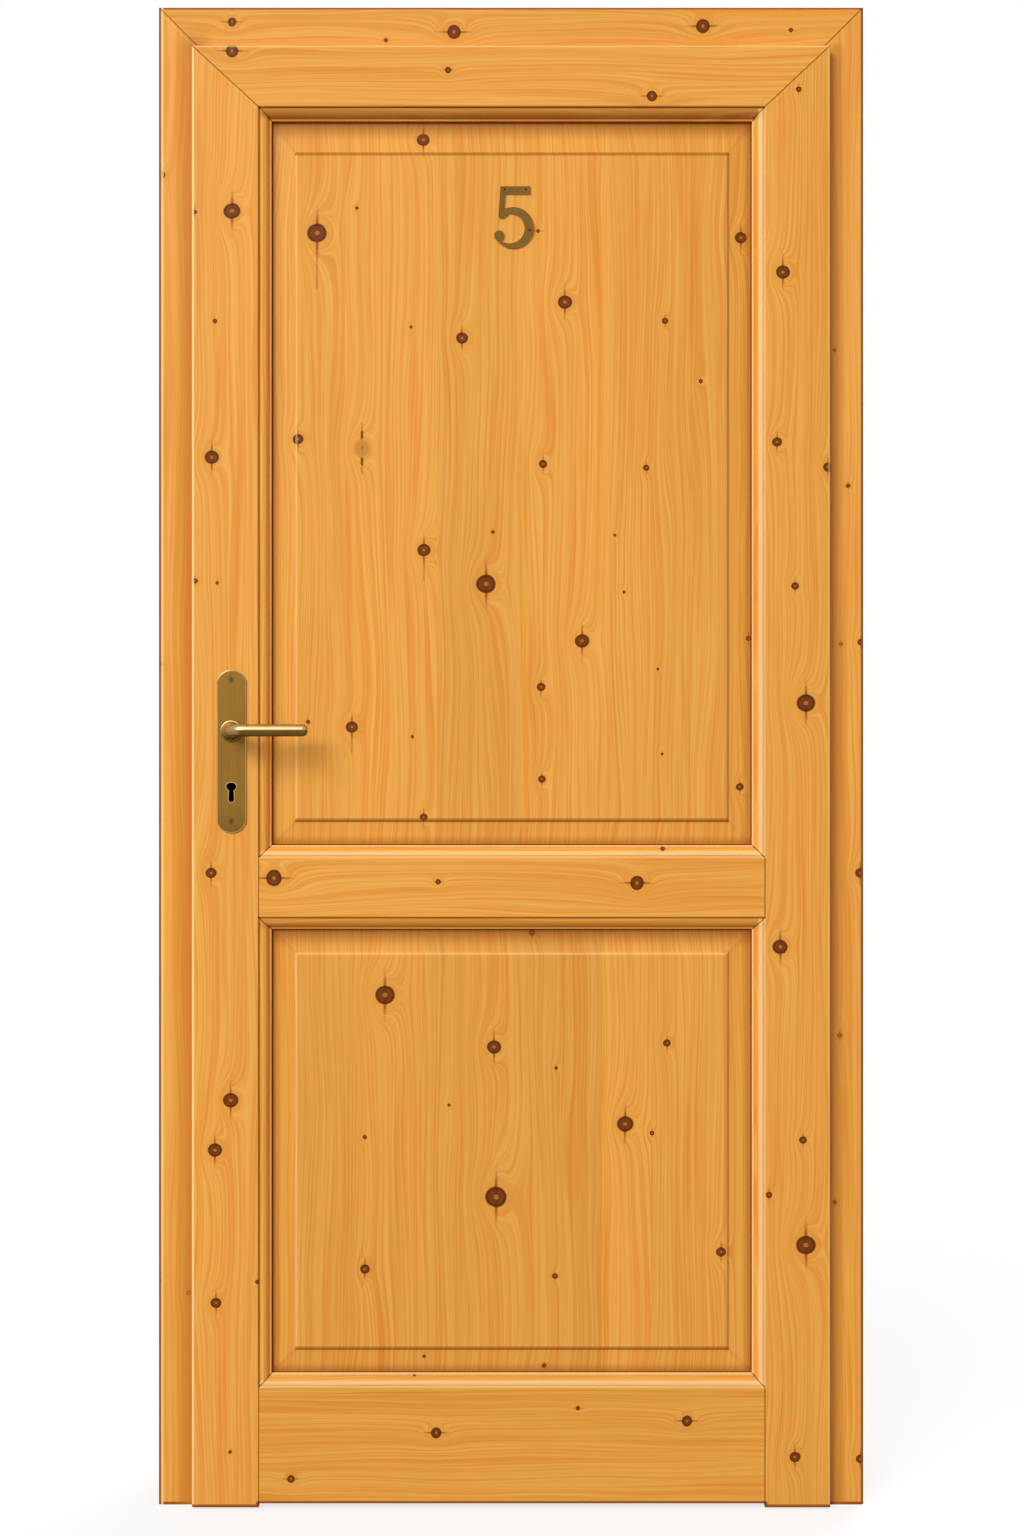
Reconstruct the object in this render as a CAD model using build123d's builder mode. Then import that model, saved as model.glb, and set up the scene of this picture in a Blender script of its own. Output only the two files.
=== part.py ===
"""Interior door: a rebated two-panel pine leaf hung in its own frame, with lock, levers and numeral.

Millimetres. X runs to the right as seen from the pull side, Y into the wall, Z up.
The model is drawn with Y = 0 on the front face of the casing. It is written with its origin at
floor level, in the middle of the width and of the depth from the front lever to the rear casing.
"""
import os

from build123d import *

# Leaf
leaf_width = 860.0
leaf_height = 1968.3
leaf_thickness = 40.0
floor_gap = 3.0
lip_thickness = 16.0
lip_side_width = 19.0
lip_top_width = 9.0
lip_gap = 0.5
lip_arris = 2.5
lock_stile_face = 90.2
hinge_stile_face = 88.2
top_rail_face = 82.8
middle_rail_face = 80.7
middle_rail_drop = 170.3
bottom_rail_face = 156.8
bottom_rail_rise = 4.6

# Moulding worked on the inner edges of stiles and rails
moulding_width = 16.0
quirk_width = 1.9
quirk_slope = 0.5
quirk_depth = 2.2
ovolo_start = 2.7
ovolo_start_depth = 1.2
ovolo_end = 13.0
ovolo_end_depth = 8.2
ovolo_bulge_share = 0.71
sight_depth = 9.0
groove_width = 12.0
groove_depth = 12.0

# Raised panels
panel_field_depth = 8.0
panel_step_width = 3.0
panel_step_height = 2.6
panel_tongue = 10.0
panel_clearance = 0.2
field_margin = 34.0
upper_field_top_margin = 44.6

# Dowels between stiles and rails
dowel_radius = 6.0
dowel_length = 80.0
corner_dowel_length = 50.0
dowel_clearance = 0.1
dowel_end_gap = 1.0
middle_dowel_shares = (-0.28, 0.28)
bottom_dowel_shares = (0.2, 0.5, 0.8)
corner_dowel_share = 0.55

# Frame: casings, lining and stop
casing_side_show = 48.0
casing_head_show = 58.7
rebate_side_gap = 3.0
rebate_top_gap = 3.7
casing_thickness = 18.0
casing_body_width = 40.0
casing_arris = 4.0
casing_inner_arris = 1.5
seal_room = 4.0
stop_width = 14.0
lining_thickness = 40.0
wall_thickness = 100.0
rear_casing_width = 64.0
rear_casing_thickness = 18.0
rear_casing_setback = 5.0
tongue_thickness = 4.0
tongue_span = 24.0
tongue_run_share = 0.5
tongue_clearance = 0.1
tongue_lean = 45.0
fixing_hole_radius = 4.0
fixing_low_z = 300.0
fixing_top_inset = 292.0

# Seal strip in the stop
seal_clearance = 0.3
seal_width = 8.0
seal_inset = 1.5
seal_tongue_width = 3.0
seal_tongue_depth = 6.0
seal_fit = 0.1

# Concealed hinges
hinge_axis_out = 11.0
hinge_axis_y = 8.0
hinge_top_drop = 237.3
hinge_spacing = 1435.0
hinge_pin_radius = 3.0
hinge_pin_fit = 0.05
hinge_press_fit = 0.01
hinge_eye_radius = 5.0
hinge_arm_thickness = 3.5
hinge_arm_height = 40.0
hinge_arm_back_gap = 0.25
hinge_washer_thickness = 1.5
hinge_washer_gap = 0.15
hinge_lug_thickness = 4.0
hinge_flange_thickness = 3.0
hinge_flange_length = 30.0
hinge_wall_thickness = 2.0
hinge_wall_gap = 0.6
hinge_skin = 2.5
hinge_pocket_clearance = 0.15
hinge_slot_clearance = 1.0
hinge_plate_thickness = 3.0
hinge_plate_height = 90.0
hinge_plate_front_gap = 1.5
hinge_bracket_back_gap = 2.1
hinge_screw_share = 0.3

# Lock
spindle_from_edge = 35.0
spindle_height = 1048.0
lock_case_thickness = 16.0
lock_case_depth = 56.0
lock_case_above = 50.0
lock_case_below = 115.0
lock_wall = 1.5
lock_clearance = 0.3
forend_thickness = 3.0
forend_width = 20.0
forend_above = 77.0
forend_below = 158.0
forend_screw_inset = 12.0
latch_width = 12.0
latch_height = 22.0
latch_level = 21.0
latch_throw = 11.0
latch_head_length = 14.0
latch_tail_height = 8.0
latch_tail_bottom = 20.0
latch_tail_thickness = 6.0
latch_hook_bottom = 9.0
latch_hook_width = 6.0
latch_hook_clearance = 0.7
latch_bevel_land = 2.0
follower_hub_radius = 10.0
follower_journal_radius = 8.5
follower_fit = 0.08
follower_side_gap = 0.3
follower_arm_half = 4.0
follower_arm_reach = 18.0
follower_arm_thickness = 6.0
follower_lug_half = 3.0
follower_lug_reach = 16.0
bolt_level = -49.0
bolt_height = 26.0
bolt_throw = 18.0
bolt_head_length = 20.0
bolt_length = 50.0
bolt_tail_thickness = 6.0
bolt_stud_radius = 2.5
bolt_stud_inset = 6.0
bolt_notch_radius = 1.6
bolt_talon_radius = 7.0
post_radius = 3.5
post_inset = 9.0
spring_thickness = 0.8
spring_width = 8.0
cover_screw_radius = 1.3
cover_screw_head = 2.6
cover_screw_length = 8.0

# Strike plate
strike_thickness = 2.5
strike_width = 20.0
strike_above = 58.0
strike_below = 88.0
strike_window_margin = 1.0
strike_latch_margin = 2.0
strike_pocket_margin = 2.0
strike_screw_inset = 8.0

# Handle plates
plate_width = 40.0
plate_above = 82.5
plate_below = 137.5
plate_end_sagitta = 15.0
plate_thickness = 3.0
plate_bevel_height = 1.3
plate_bevel_angle = 61.0
plate_top_screw = 68.9
plate_bottom_screw = 121.6
plate_dimple_drop = 46.6
plate_dimple_radius = 0.9
plate_dimple_depth = 1.0
keyhole_drop = 74.8
keyhole_round_width = 13.6
keyhole_round_height = 11.0
keyhole_slot_width = 5.9
keyhole_foot_width = 7.6
keyhole_foot_drop = 17.2
keyhole_rim_width = 1.1
keyhole_rim_height = 0.6
keyhole_clearance = 1.0

# Bushes, levers and spindle
bush_flange_radius = 14.5
bush_flange_height = 4.0
bush_flange_round = 1.4
bush_sleeve_radius = 10.5
bush_sleeve_length = 6.5
bush_fit = 0.1
lever_journal_radius = 8.0
lever_journal_fit = 0.06
lever_gap = 0.3
lever_root_radius = 12.4
lever_root_height = 10.5
lever_radius = 8.15
lever_length = 106.5
lever_stand = 48.0
lever_bend_radius = 24.0
lever_end_round = 6.5
lever_dome_share = 0.71
spindle_size = 8.0
spindle_clearance = 0.05
spindle_reach = 22.0
grub_radius = 2.5
grub_reach = 12.5

# Screws
wood_screw_head = 4.0
wood_screw_radius = 2.0
wood_screw_length = 28.0
plate_screw_length = 17.0
hinge_screw_length = 24.0
screw_slot_width = 0.9
screw_slot_depth = 0.9
screw_hole_fit = 0.1
lining_screw_length = 75.0
lining_screw_shares = (0.25, 0.75)

# Numeral
numeral_x = 3.0
numeral_drop = 243.9
numeral_thickness = 3.2
numeral_edge = 0.8
numeral_bowl_radius = 27.7
numeral_bowl_inner = 20.5
numeral_bowl_shift = 5.3
numeral_bowl_sink = 0.8
numeral_bar_left = 17.4
numeral_bar_right = 22.8
numeral_bar_top = 55.8
numeral_bar_depth = 10.0
numeral_stem_width = 7.3
numeral_stem_foot_left = 20.3
numeral_stem_foot = 13.4
numeral_foot_round = 2.2
numeral_ball_x = 19.1
numeral_ball_drop = 10.5
numeral_ball_radius = 6.9
numeral_notch_round = 1.6
numeral_pin_radius = 1.3
numeral_pin_length = 14.0
numeral_pin_proud = 0.3
numeral_pin_left = 11.7
numeral_pin_right = 17.0
numeral_pin_top = 51.3
numeral_pin_side = 22.2
numeral_pin_side_drop = 3.8

# Cuts run this far past the faces that they open
overrun = 5.0

# Where the middle of a quarter circle lies, as a share of its radius from the corner
quarter_share = 1 - 0.5**0.5

# Places worked out from the sizes above
leaf_front_y = -(lip_gap + lip_thickness)
lip_back_y = -lip_gap
leaf_back_y = leaf_front_y + leaf_thickness
leaf_mid_y = (leaf_front_y + leaf_back_y) / 2
leaf_bottom_z = floor_gap
leaf_top_z = floor_gap + leaf_height
leaf_right_x = leaf_width / 2
leaf_left_x = -leaf_right_x
edge_right_x = leaf_right_x - lip_side_width
edge_left_x = -edge_right_x
edge_top_z = leaf_top_z - lip_top_width
lock_quirk_x = leaf_left_x + lock_stile_face
hinge_quirk_x = leaf_right_x - hinge_stile_face
lock_sight_x = lock_quirk_x + moulding_width
hinge_sight_x = hinge_quirk_x - moulding_width
top_quirk_z = leaf_top_z - top_rail_face
top_sight_z = top_quirk_z - moulding_width
middle_high_quirk_z = spindle_height - middle_rail_drop
middle_low_quirk_z = middle_high_quirk_z - middle_rail_face
middle_low_sight_z = middle_low_quirk_z - moulding_width
middle_high_sight_z = middle_high_quirk_z + moulding_width
bottom_rail_z = leaf_bottom_z + bottom_rail_rise
bottom_quirk_z = bottom_rail_z + bottom_rail_face
bottom_sight_z = bottom_quirk_z + moulding_width
groove_front = (leaf_thickness - groove_width) / 2

casing_outer_x = leaf_right_x + casing_side_show
casing_top_z = leaf_top_z + casing_head_show
casing_inner_x = edge_right_x + rebate_side_gap
casing_inner_z = edge_top_z + rebate_top_gap
casing_back_y = leaf_back_y + seal_room
wall_back_y = casing_thickness + wall_thickness
lining_inner_x = casing_inner_x - stop_width
lining_outer_x = lining_inner_x + lining_thickness
lining_head_z = casing_inner_z - stop_width
lining_top_z = lining_head_z + lining_thickness
lining_mid_y = (casing_back_y + wall_back_y) / 2
rear_back_y = wall_back_y + rear_casing_thickness
rear_inner_x = lining_inner_x + rear_casing_setback
rear_outer_x = rear_inner_x + rear_casing_width
rear_inner_z = lining_head_z + rear_casing_setback
rear_outer_z = rear_inner_z + rear_casing_width

pin_x = leaf_right_x + hinge_axis_out
pin_y = hinge_axis_y
hinge_levels = (edge_top_z - hinge_top_drop, edge_top_z - hinge_top_drop - hinge_spacing)
arm_back_y = leaf_back_y - hinge_arm_back_gap
arm_front_y = arm_back_y - hinge_arm_thickness
lug_inner = hinge_arm_height / 2 + hinge_washer_thickness + hinge_washer_gap * 2
lug_outer = lug_inner + hinge_lug_thickness
bracket_outer_x = pin_x + hinge_eye_radius + hinge_wall_gap + hinge_wall_thickness
bracket_back_y = casing_back_y - hinge_bracket_back_gap
flange_end = lug_outer + hinge_flange_length

spindle_x = edge_left_x + spindle_from_edge
lock_mid_y = (lip_back_y + leaf_back_y) / 2
case_left_x = edge_left_x + forend_thickness
case_right_x = case_left_x + lock_case_depth
case_front_y = lock_mid_y - lock_case_thickness / 2
case_back_y = lock_mid_y + lock_case_thickness / 2
case_top_z = spindle_height + lock_case_above
case_bottom_z = spindle_height - lock_case_below
latch_z = spindle_height + latch_level
bolt_z = spindle_height + bolt_level
keyhole_z = spindle_height - keyhole_drop
bolt_stud_x = edge_left_x + bolt_head_length + bolt_stud_inset
cover_posts = (
    (case_left_x + post_inset, case_top_z - post_inset),
    (case_right_x - post_inset, case_bottom_z + post_inset),
)
field_front_y = leaf_front_y + panel_field_depth
numeral_z = leaf_top_z - numeral_drop

mid_depth_y = (leaf_front_y - lever_stand + rear_back_y) / 2

MIN = (Align.CENTER, Align.CENTER, Align.MIN)
ALONG_X = (1, 0, 0)
BACK_X = (-1, 0, 0)
ALONG_Y = (0, 1, 0)
BACK_Y = (0, -1, 0)
ALONG_Z = (0, 0, 1)
BACK_Z = (0, 0, -1)

os.makedirs("parts", exist_ok=True)


def save(piece, name):
    """Set a finished piece about the origin at mid depth, label it and write it."""
    piece.part.position = (0, -mid_depth_y, 0)
    piece.part.label = name
    export_step(piece.part, f"parts/{name}.step")


def facing(point, direction, across=None):
    """A place at a point whose own Z runs along a direction."""
    return Plane(origin=point, x_dir=across, z_dir=direction).location


def block(low, high, mode=Mode.ADD):
    """A square-cornered block between two corners, added to or cut from the piece being made."""
    size = [b - a for a, b in zip(low, high)]
    middle = [(a + b) / 2 for a, b in zip(low, high)]
    with Locations(tuple(middle)):
        Box(*size, mode=mode)


def drill(places, radius, depth):
    """Round holes in the piece being made, each from its place along the place's own Z."""
    with Locations(*places):
        Cylinder(radius, depth, align=MIN, mode=Mode.SUBTRACT)


def countersink(places, head, radius, depth):
    """Countersunk screw holes in the piece being made."""
    with Locations(*places):
        Cone(head, radius, head - radius, align=MIN, mode=Mode.SUBTRACT)
        Cylinder(radius, depth, align=MIN, mode=Mode.SUBTRACT)


def upright_cut(points):
    """An outline in X and Z, cut right through the piece being made along Y."""
    with BuildSketch(Plane.XZ, mode=Mode.PRIVATE) as outline:
        Polygon(*points, align=None)
    extrude(outline.sketch, rear_back_y, both=True, mode=Mode.SUBTRACT)


def screws(places, head, radius, length):
    """Countersunk slotted screws, each from the top of its head along its place's own Z."""
    with BuildPart() as group:
        with Locations(*places):
            Cone(head, radius, head - radius, align=MIN)
            Cylinder(radius, length, align=MIN)
            Box(screw_slot_width, head * 2, screw_slot_depth, align=MIN, mode=Mode.SUBTRACT)
    return group


# Sections of the leaf's stiles and rails. A stile's section lies in X and Y, a rail's in Y and Z.
def spot(across, depth, is_stile):
    """A point of a section: a place across the member and a depth below the leaf's front face."""
    if is_stile:
        return (across, leaf_front_y + depth)
    return (leaf_front_y + depth, across)


def moulded_edge(quirk, way, is_stile):
    """The moulded and grooved inner edge of a member, from its front face to its back face."""
    rise = ovolo_end_depth - ovolo_start_depth
    run = ovolo_end - ovolo_start
    crown = (
        ovolo_start + run * ovolo_bulge_share,
        ovolo_end_depth - rise * ovolo_bulge_share,
    )
    quirk_run = (
        (0, 0),
        (quirk_slope, quirk_depth),
        (quirk_width, quirk_depth),
        (ovolo_start, ovolo_start_depth),
    )
    sight_run = (
        (ovolo_end, ovolo_end_depth),
        (ovolo_end, sight_depth),
        (moulding_width, sight_depth),
        (moulding_width, groove_front),
        (moulding_width - groove_depth, groove_front),
    )

    def front(point):
        return spot(quirk + way * point[0], point[1], is_stile)

    def back(point):
        return spot(quirk + way * point[0], leaf_thickness - point[1], is_stile)

    for face in (front, back):
        Polyline(*[face(point) for point in quirk_run])
        ThreePointArc(face(quirk_run[-1]), face(crown), face(sight_run[0]))
        Polyline(*[face(point) for point in sight_run])
    Line(front(sight_run[-1]), back(sight_run[-1]))


def lipped_edge(lip, edge, quirk, way, is_stile):
    """The rebated outer edge of a member, and the faces that run from it to the quirk lines."""
    bend = lip_arris * quarter_share
    Line(spot(quirk, 0, is_stile), spot(lip + way * lip_arris, 0, is_stile))
    ThreePointArc(
        spot(lip + way * lip_arris, 0, is_stile),
        spot(lip + way * bend, bend, is_stile),
        spot(lip, lip_arris, is_stile),
    )
    Polyline(
        spot(lip, lip_arris, is_stile),
        spot(lip, lip_thickness, is_stile),
        spot(edge, lip_thickness, is_stile),
        spot(edge, leaf_thickness, is_stile),
        spot(quirk, leaf_thickness, is_stile),
    )


def rail_end_notch(quirk_x, sight_x, low_quirk, low_sight, high_quirk, high_sight):
    """The room that a rail's moulded end takes out of a stile."""
    past_x = sight_x + (sight_x - quirk_x)
    upright_cut(
        [
            (quirk_x, low_quirk),
            (sight_x, low_sight),
            (past_x, low_sight),
            (past_x, high_sight),
            (sight_x, high_sight),
            (quirk_x, high_quirk),
        ]
    )


def rail_dowel_places():
    """Dowel axes at the ends of the middle and bottom rails: height only."""
    middle_z = (middle_low_quirk_z + middle_high_quirk_z) / 2
    middle = [middle_z + share * middle_rail_face for share in middle_dowel_shares]
    bottom = [bottom_rail_z + share * bottom_rail_face for share in bottom_dowel_shares]
    return middle, bottom


def corner_dowel_x(quirk_x, outer_x):
    """Where the dowel of a mitred top corner crosses the mitre."""
    return outer_x + (quirk_x - outer_x) * corner_dowel_share


corner_dowel_z = leaf_top_z - top_rail_face * corner_dowel_share
lock_corner_x = corner_dowel_x(lock_quirk_x, leaf_left_x)
hinge_corner_x = corner_dowel_x(hinge_quirk_x, leaf_right_x)
middle_dowels_z, bottom_dowels_z = rail_dowel_places()


def dowel_holes(x, levels, length):
    """Holes for dowels that lie along X and are centred on x."""
    start = x - length / 2 - dowel_end_gap
    places = [facing((start, leaf_mid_y, z), ALONG_X) for z in levels]
    drill(places, dowel_radius + dowel_clearance, length + dowel_end_gap * 2)


def stile(quirk_x, sight_x, outer_x, edge_x, way):
    """A stile with its moulding, mitred at the top and cut back for the middle and bottom rails."""
    with BuildPart() as piece:
        with BuildSketch(Plane.XY.offset(leaf_bottom_z)):
            with BuildLine():
                moulded_edge(quirk_x, way, True)
                lipped_edge(outer_x, edge_x, quirk_x, way, True)
            make_face()
        extrude(amount=leaf_height)
        past_x = sight_x + way * moulding_width
        past_z = leaf_top_z + overrun
        upright_cut(
            [
                (outer_x, leaf_top_z),
                (quirk_x, top_quirk_z),
                (sight_x, top_sight_z),
                (past_x, top_sight_z),
                (past_x, past_z),
                (outer_x, past_z),
            ]
        )
        rail_end_notch(
            quirk_x, sight_x, middle_low_quirk_z, middle_low_sight_z, middle_high_quirk_z, middle_high_sight_z
        )
        foot_z = leaf_bottom_z - overrun
        rail_end_notch(quirk_x, sight_x, foot_z, foot_z, bottom_quirk_z, bottom_sight_z)
        dowel_holes(quirk_x, middle_dowels_z + bottom_dowels_z, dowel_length)
        dowel_holes(corner_dowel_x(quirk_x, outer_x), [corner_dowel_z], corner_dowel_length)
    return piece


# Keyhole, drawn in X and Z about the key's axis, larger by a margin all round
def keyhole(margin):
    """A keyhole outline in the sketch being made: round head, slot and rounded foot."""
    half_slot = keyhole_slot_width / 2 + margin
    half_foot = keyhole_foot_width / 2 + margin
    Ellipse(keyhole_round_width / 2 + margin, keyhole_round_height / 2 + margin)
    foot = -keyhole_foot_drop
    Polygon((-half_slot, 0), (half_slot, 0), (half_foot, foot), (-half_foot, foot), align=None)
    with Locations((0, foot)):
        Circle(half_foot)


def keyhole_plane(y):
    """The upright plane through the key's axis at a depth, with the sketch's own normal towards the front."""
    return Plane(origin=(spindle_x, y, keyhole_z), x_dir=ALONG_X, z_dir=BACK_Y)


# Screw places that two pieces share
def plate_screw_places(face_y, into):
    """Heads of the two screws of a handle plate."""
    levels = (spindle_height + plate_top_screw, spindle_height - plate_bottom_screw)
    return [facing((spindle_x, face_y, z), into, ALONG_X) for z in levels]


front_plate_y = leaf_front_y - plate_thickness
rear_plate_y = leaf_back_y + plate_thickness
plate_screw_set = plate_screw_places(front_plate_y, ALONG_Y) + plate_screw_places(rear_plate_y, BACK_Y)
forend_screw_levels = (
    spindle_height + forend_above - forend_screw_inset,
    spindle_height - forend_below + forend_screw_inset,
)
forend_screw_set = [facing((edge_left_x, lock_mid_y, z), ALONG_X) for z in forend_screw_levels]
strike_screw_levels = (
    spindle_height + strike_above - strike_screw_inset,
    spindle_height - strike_below + strike_screw_inset,
)
strike_screw_set = [facing((-casing_inner_x, lock_mid_y, z), BACK_X) for z in strike_screw_levels]


def hinge_screw_places(level, face_x, direction, spread, low_y, high_y):
    """Four screws of a hinge plate: two heights and two depths."""
    depths = (low_y + (high_y - low_y) * hinge_screw_share, high_y - (high_y - low_y) * hinge_screw_share)
    return [
        facing((face_x, depth, level + side * spread), direction)
        for depth in depths
        for side in (-1, 1)
    ]


flange_middle = (lug_outer + flange_end) / 2
plate_middle = (hinge_arm_height + hinge_plate_height) / 4
hinge_plate_front_y = lip_back_y + hinge_plate_front_gap
bracket_front_y = hinge_skin + hinge_pocket_clearance
bracket_screw_set = []
arm_screw_set = []
for hinge_level in hinge_levels:
    bracket_screw_set += hinge_screw_places(
        hinge_level, casing_inner_x, ALONG_X, flange_middle, bracket_front_y, bracket_back_y
    )
    arm_screw_set += hinge_screw_places(
        hinge_level, edge_right_x, BACK_X, plate_middle, hinge_plate_front_y, arm_back_y
    )

# Lock stile: mortise for the lock, a hole for the spindle and one for the key, from the front only
lock_stile = stile(lock_quirk_x, lock_sight_x, leaf_left_x, edge_left_x, 1)
with BuildPart() as lock_stile_cut:
    add(lock_stile.part)
    block(
        (edge_left_x - overrun, lock_mid_y - forend_width / 2, spindle_height - forend_below),
        (case_left_x, lock_mid_y + forend_width / 2, spindle_height + forend_above),
        Mode.SUBTRACT,
    )
    block(
        (case_left_x - forend_thickness, case_front_y - lock_clearance, case_bottom_z - lock_clearance),
        (case_right_x + lock_clearance, case_back_y + lock_clearance, case_top_z + lock_clearance),
        Mode.SUBTRACT,
    )
    drill(
        [facing((spindle_x, leaf_front_y - overrun, spindle_height), ALONG_Y)],
        bush_sleeve_radius + bush_fit,
        leaf_thickness + overrun * 2,
    )
    with BuildSketch(keyhole_plane(lock_mid_y)):
        keyhole(keyhole_clearance)
    extrude(amount=leaf_thickness, mode=Mode.SUBTRACT)
    plate_screw_hole = plate_screw_length + overrun
    countersink(plate_screw_set, wood_screw_head, wood_screw_radius + screw_hole_fit, plate_screw_hole)
    drill(forend_screw_set, wood_screw_radius + screw_hole_fit, wood_screw_length + overrun)
save(lock_stile_cut, "lock_stile")

# Hinge stile: recesses for the two hinge plates
hinge_stile = stile(hinge_quirk_x, hinge_sight_x, leaf_right_x, edge_right_x, -1)
with BuildPart() as hinge_stile_cut:
    add(hinge_stile.part)
    for hinge_level in hinge_levels:
        block(
            (edge_right_x - hinge_plate_thickness, hinge_plate_front_y, hinge_level - hinge_plate_height / 2),
            (edge_right_x + overrun, leaf_back_y + overrun, hinge_level + hinge_plate_height / 2),
            Mode.SUBTRACT,
        )
    drill(arm_screw_set, wood_screw_radius + screw_hole_fit, hinge_screw_length + overrun)
save(hinge_stile_cut, "hinge_stile")

# Top rail: mitred to both stiles, rebated along the top and past the stiles' narrow edges
with BuildPart() as top_rail:
    with BuildSketch(Plane.YZ.offset(leaf_left_x)):
        with BuildLine():
            moulded_edge(top_quirk_z, -1, False)
            lipped_edge(leaf_top_z, edge_top_z, top_quirk_z, -1, False)
        make_face()
    extrude(amount=leaf_width)
    for side, quirk_x, sight_x in ((-1, lock_quirk_x, lock_sight_x), (1, hinge_quirk_x, hinge_sight_x)):
        outer_x = side * leaf_right_x
        past_x = outer_x + side * overrun
        past_z = top_sight_z - overrun
        upright_cut(
            [
                (outer_x, leaf_top_z),
                (quirk_x, top_quirk_z),
                (sight_x, top_sight_z),
                (sight_x, past_z),
                (past_x, past_z),
                (past_x, leaf_top_z),
            ]
        )
        edge_x = side * edge_right_x
        block(
            (min(edge_x, past_x), lip_back_y, past_z),
            (max(edge_x, past_x), leaf_back_y + overrun, leaf_top_z + overrun),
            Mode.SUBTRACT,
        )
    dowel_holes(lock_corner_x, [corner_dowel_z], corner_dowel_length)
    dowel_holes(hinge_corner_x, [corner_dowel_z], corner_dowel_length)
save(top_rail, "top_rail")


def rail_mitre(quirk_z, sight_z):
    """Mitre both ends of a rail's moulding from its quirk line to its sight edge."""
    for quirk_x, sight_x in ((lock_quirk_x, lock_sight_x), (hinge_quirk_x, hinge_sight_x)):
        past_x = quirk_x - (sight_x - quirk_x)
        past_z = sight_z + (sight_z - quirk_z)
        upright_cut(
            [(quirk_x, quirk_z), (sight_x, sight_z), (sight_x, past_z), (past_x, past_z), (past_x, quirk_z)]
        )


# Middle rail: moulded on both edges
with BuildPart() as middle_rail:
    with BuildSketch(Plane.YZ.offset(lock_quirk_x)):
        with BuildLine():
            moulded_edge(middle_low_quirk_z, -1, False)
            moulded_edge(middle_high_quirk_z, 1, False)
            for depth in (0, leaf_thickness):
                Line(spot(middle_low_quirk_z, depth, False), spot(middle_high_quirk_z, depth, False))
        make_face()
    extrude(amount=hinge_quirk_x - lock_quirk_x)
    rail_mitre(middle_high_quirk_z, middle_high_sight_z)
    rail_mitre(middle_low_quirk_z, middle_low_sight_z)
    dowel_holes(lock_quirk_x, middle_dowels_z, dowel_length)
    dowel_holes(hinge_quirk_x, middle_dowels_z, dowel_length)
save(middle_rail, "middle_rail")

# Bottom rail: moulded on its upper edge, its lower front edge rounded
with BuildPart() as bottom_rail:
    with BuildSketch(Plane.YZ.offset(lock_quirk_x)):
        with BuildLine():
            moulded_edge(bottom_quirk_z, 1, False)
            bend = lip_arris * quarter_share
            Line(spot(bottom_quirk_z, 0, False), spot(bottom_rail_z + lip_arris, 0, False))
            ThreePointArc(
                spot(bottom_rail_z + lip_arris, 0, False),
                spot(bottom_rail_z + bend, bend, False),
                spot(bottom_rail_z, lip_arris, False),
            )
            Polyline(
                spot(bottom_rail_z, lip_arris, False),
                spot(bottom_rail_z, leaf_thickness, False),
                spot(bottom_quirk_z, leaf_thickness, False),
            )
        make_face()
    extrude(amount=hinge_quirk_x - lock_quirk_x)
    rail_mitre(bottom_quirk_z, bottom_sight_z)
    dowel_holes(lock_quirk_x, bottom_dowels_z, dowel_length)
    dowel_holes(hinge_quirk_x, bottom_dowels_z, dowel_length)
save(bottom_rail, "bottom_rail")

# Dowels, one group
with BuildPart() as leaf_dowels:
    rail_levels = middle_dowels_z + bottom_dowels_z
    long_places = [
        facing((x - dowel_length / 2, leaf_mid_y, z), ALONG_X)
        for x in (lock_quirk_x, hinge_quirk_x)
        for z in rail_levels
    ]
    with Locations(*long_places):
        Cylinder(dowel_radius, dowel_length, align=MIN)
    corner_places = [
        facing((x - corner_dowel_length / 2, leaf_mid_y, corner_dowel_z), ALONG_X)
        for x in (lock_corner_x, hinge_corner_x)
    ]
    with Locations(*corner_places):
        Cylinder(dowel_radius, corner_dowel_length, align=MIN)
save(leaf_dowels, "leaf_dowels")


# Raised and fielded panels, the same on both faces
def panel(low_sight, high_sight, top_margin):
    """A panel in its grooves: a flat field, a small step and a bevel down to a tongue, on each face."""
    low = (lock_sight_x - panel_tongue, field_front_y, low_sight - panel_tongue)
    high = (hinge_sight_x + panel_tongue, leaf_back_y - panel_field_depth, high_sight + panel_tongue)
    tongue_depth = groove_front + panel_clearance
    step_depth = panel_field_depth + panel_step_height

    def bevel(margin):
        return (
            (margin, panel_field_depth),
            (margin - panel_step_width, step_depth),
            (0, tongue_depth),
            (-panel_tongue - overrun, tongue_depth),
            (-panel_tongue - overrun, panel_field_depth - overrun),
            (margin, panel_field_depth - overrun),
        )

    with BuildPart() as piece:
        block(low, (high[0], leaf_mid_y, high[2]))
        for sight, way, margin in ((low_sight, 1, field_margin), (high_sight, -1, top_margin)):
            section = [spot(sight + way * run, depth, False) for run, depth in bevel(margin)]
            with BuildSketch(Plane.YZ.offset(low[0] - overrun)):
                Polygon(*section, align=None)
            extrude(amount=high[0] - low[0] + overrun * 2, mode=Mode.SUBTRACT)
        for sight, way in ((lock_sight_x, 1), (hinge_sight_x, -1)):
            section = [spot(sight + way * run, depth, True) for run, depth in bevel(field_margin)]
            with BuildSketch(Plane.XY.offset(low[2] - overrun)):
                Polygon(*section, align=None)
            extrude(amount=high[2] - low[2] + overrun * 2, mode=Mode.SUBTRACT)
        mirror(about=Plane.XZ.offset(-leaf_mid_y))
    return piece


numeral_pin_spots = (
    (numeral_x - numeral_pin_left, numeral_z + numeral_pin_top),
    (numeral_x + numeral_pin_right, numeral_z + numeral_pin_top),
    (numeral_x + numeral_pin_side, numeral_z - numeral_pin_side_drop),
)


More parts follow.
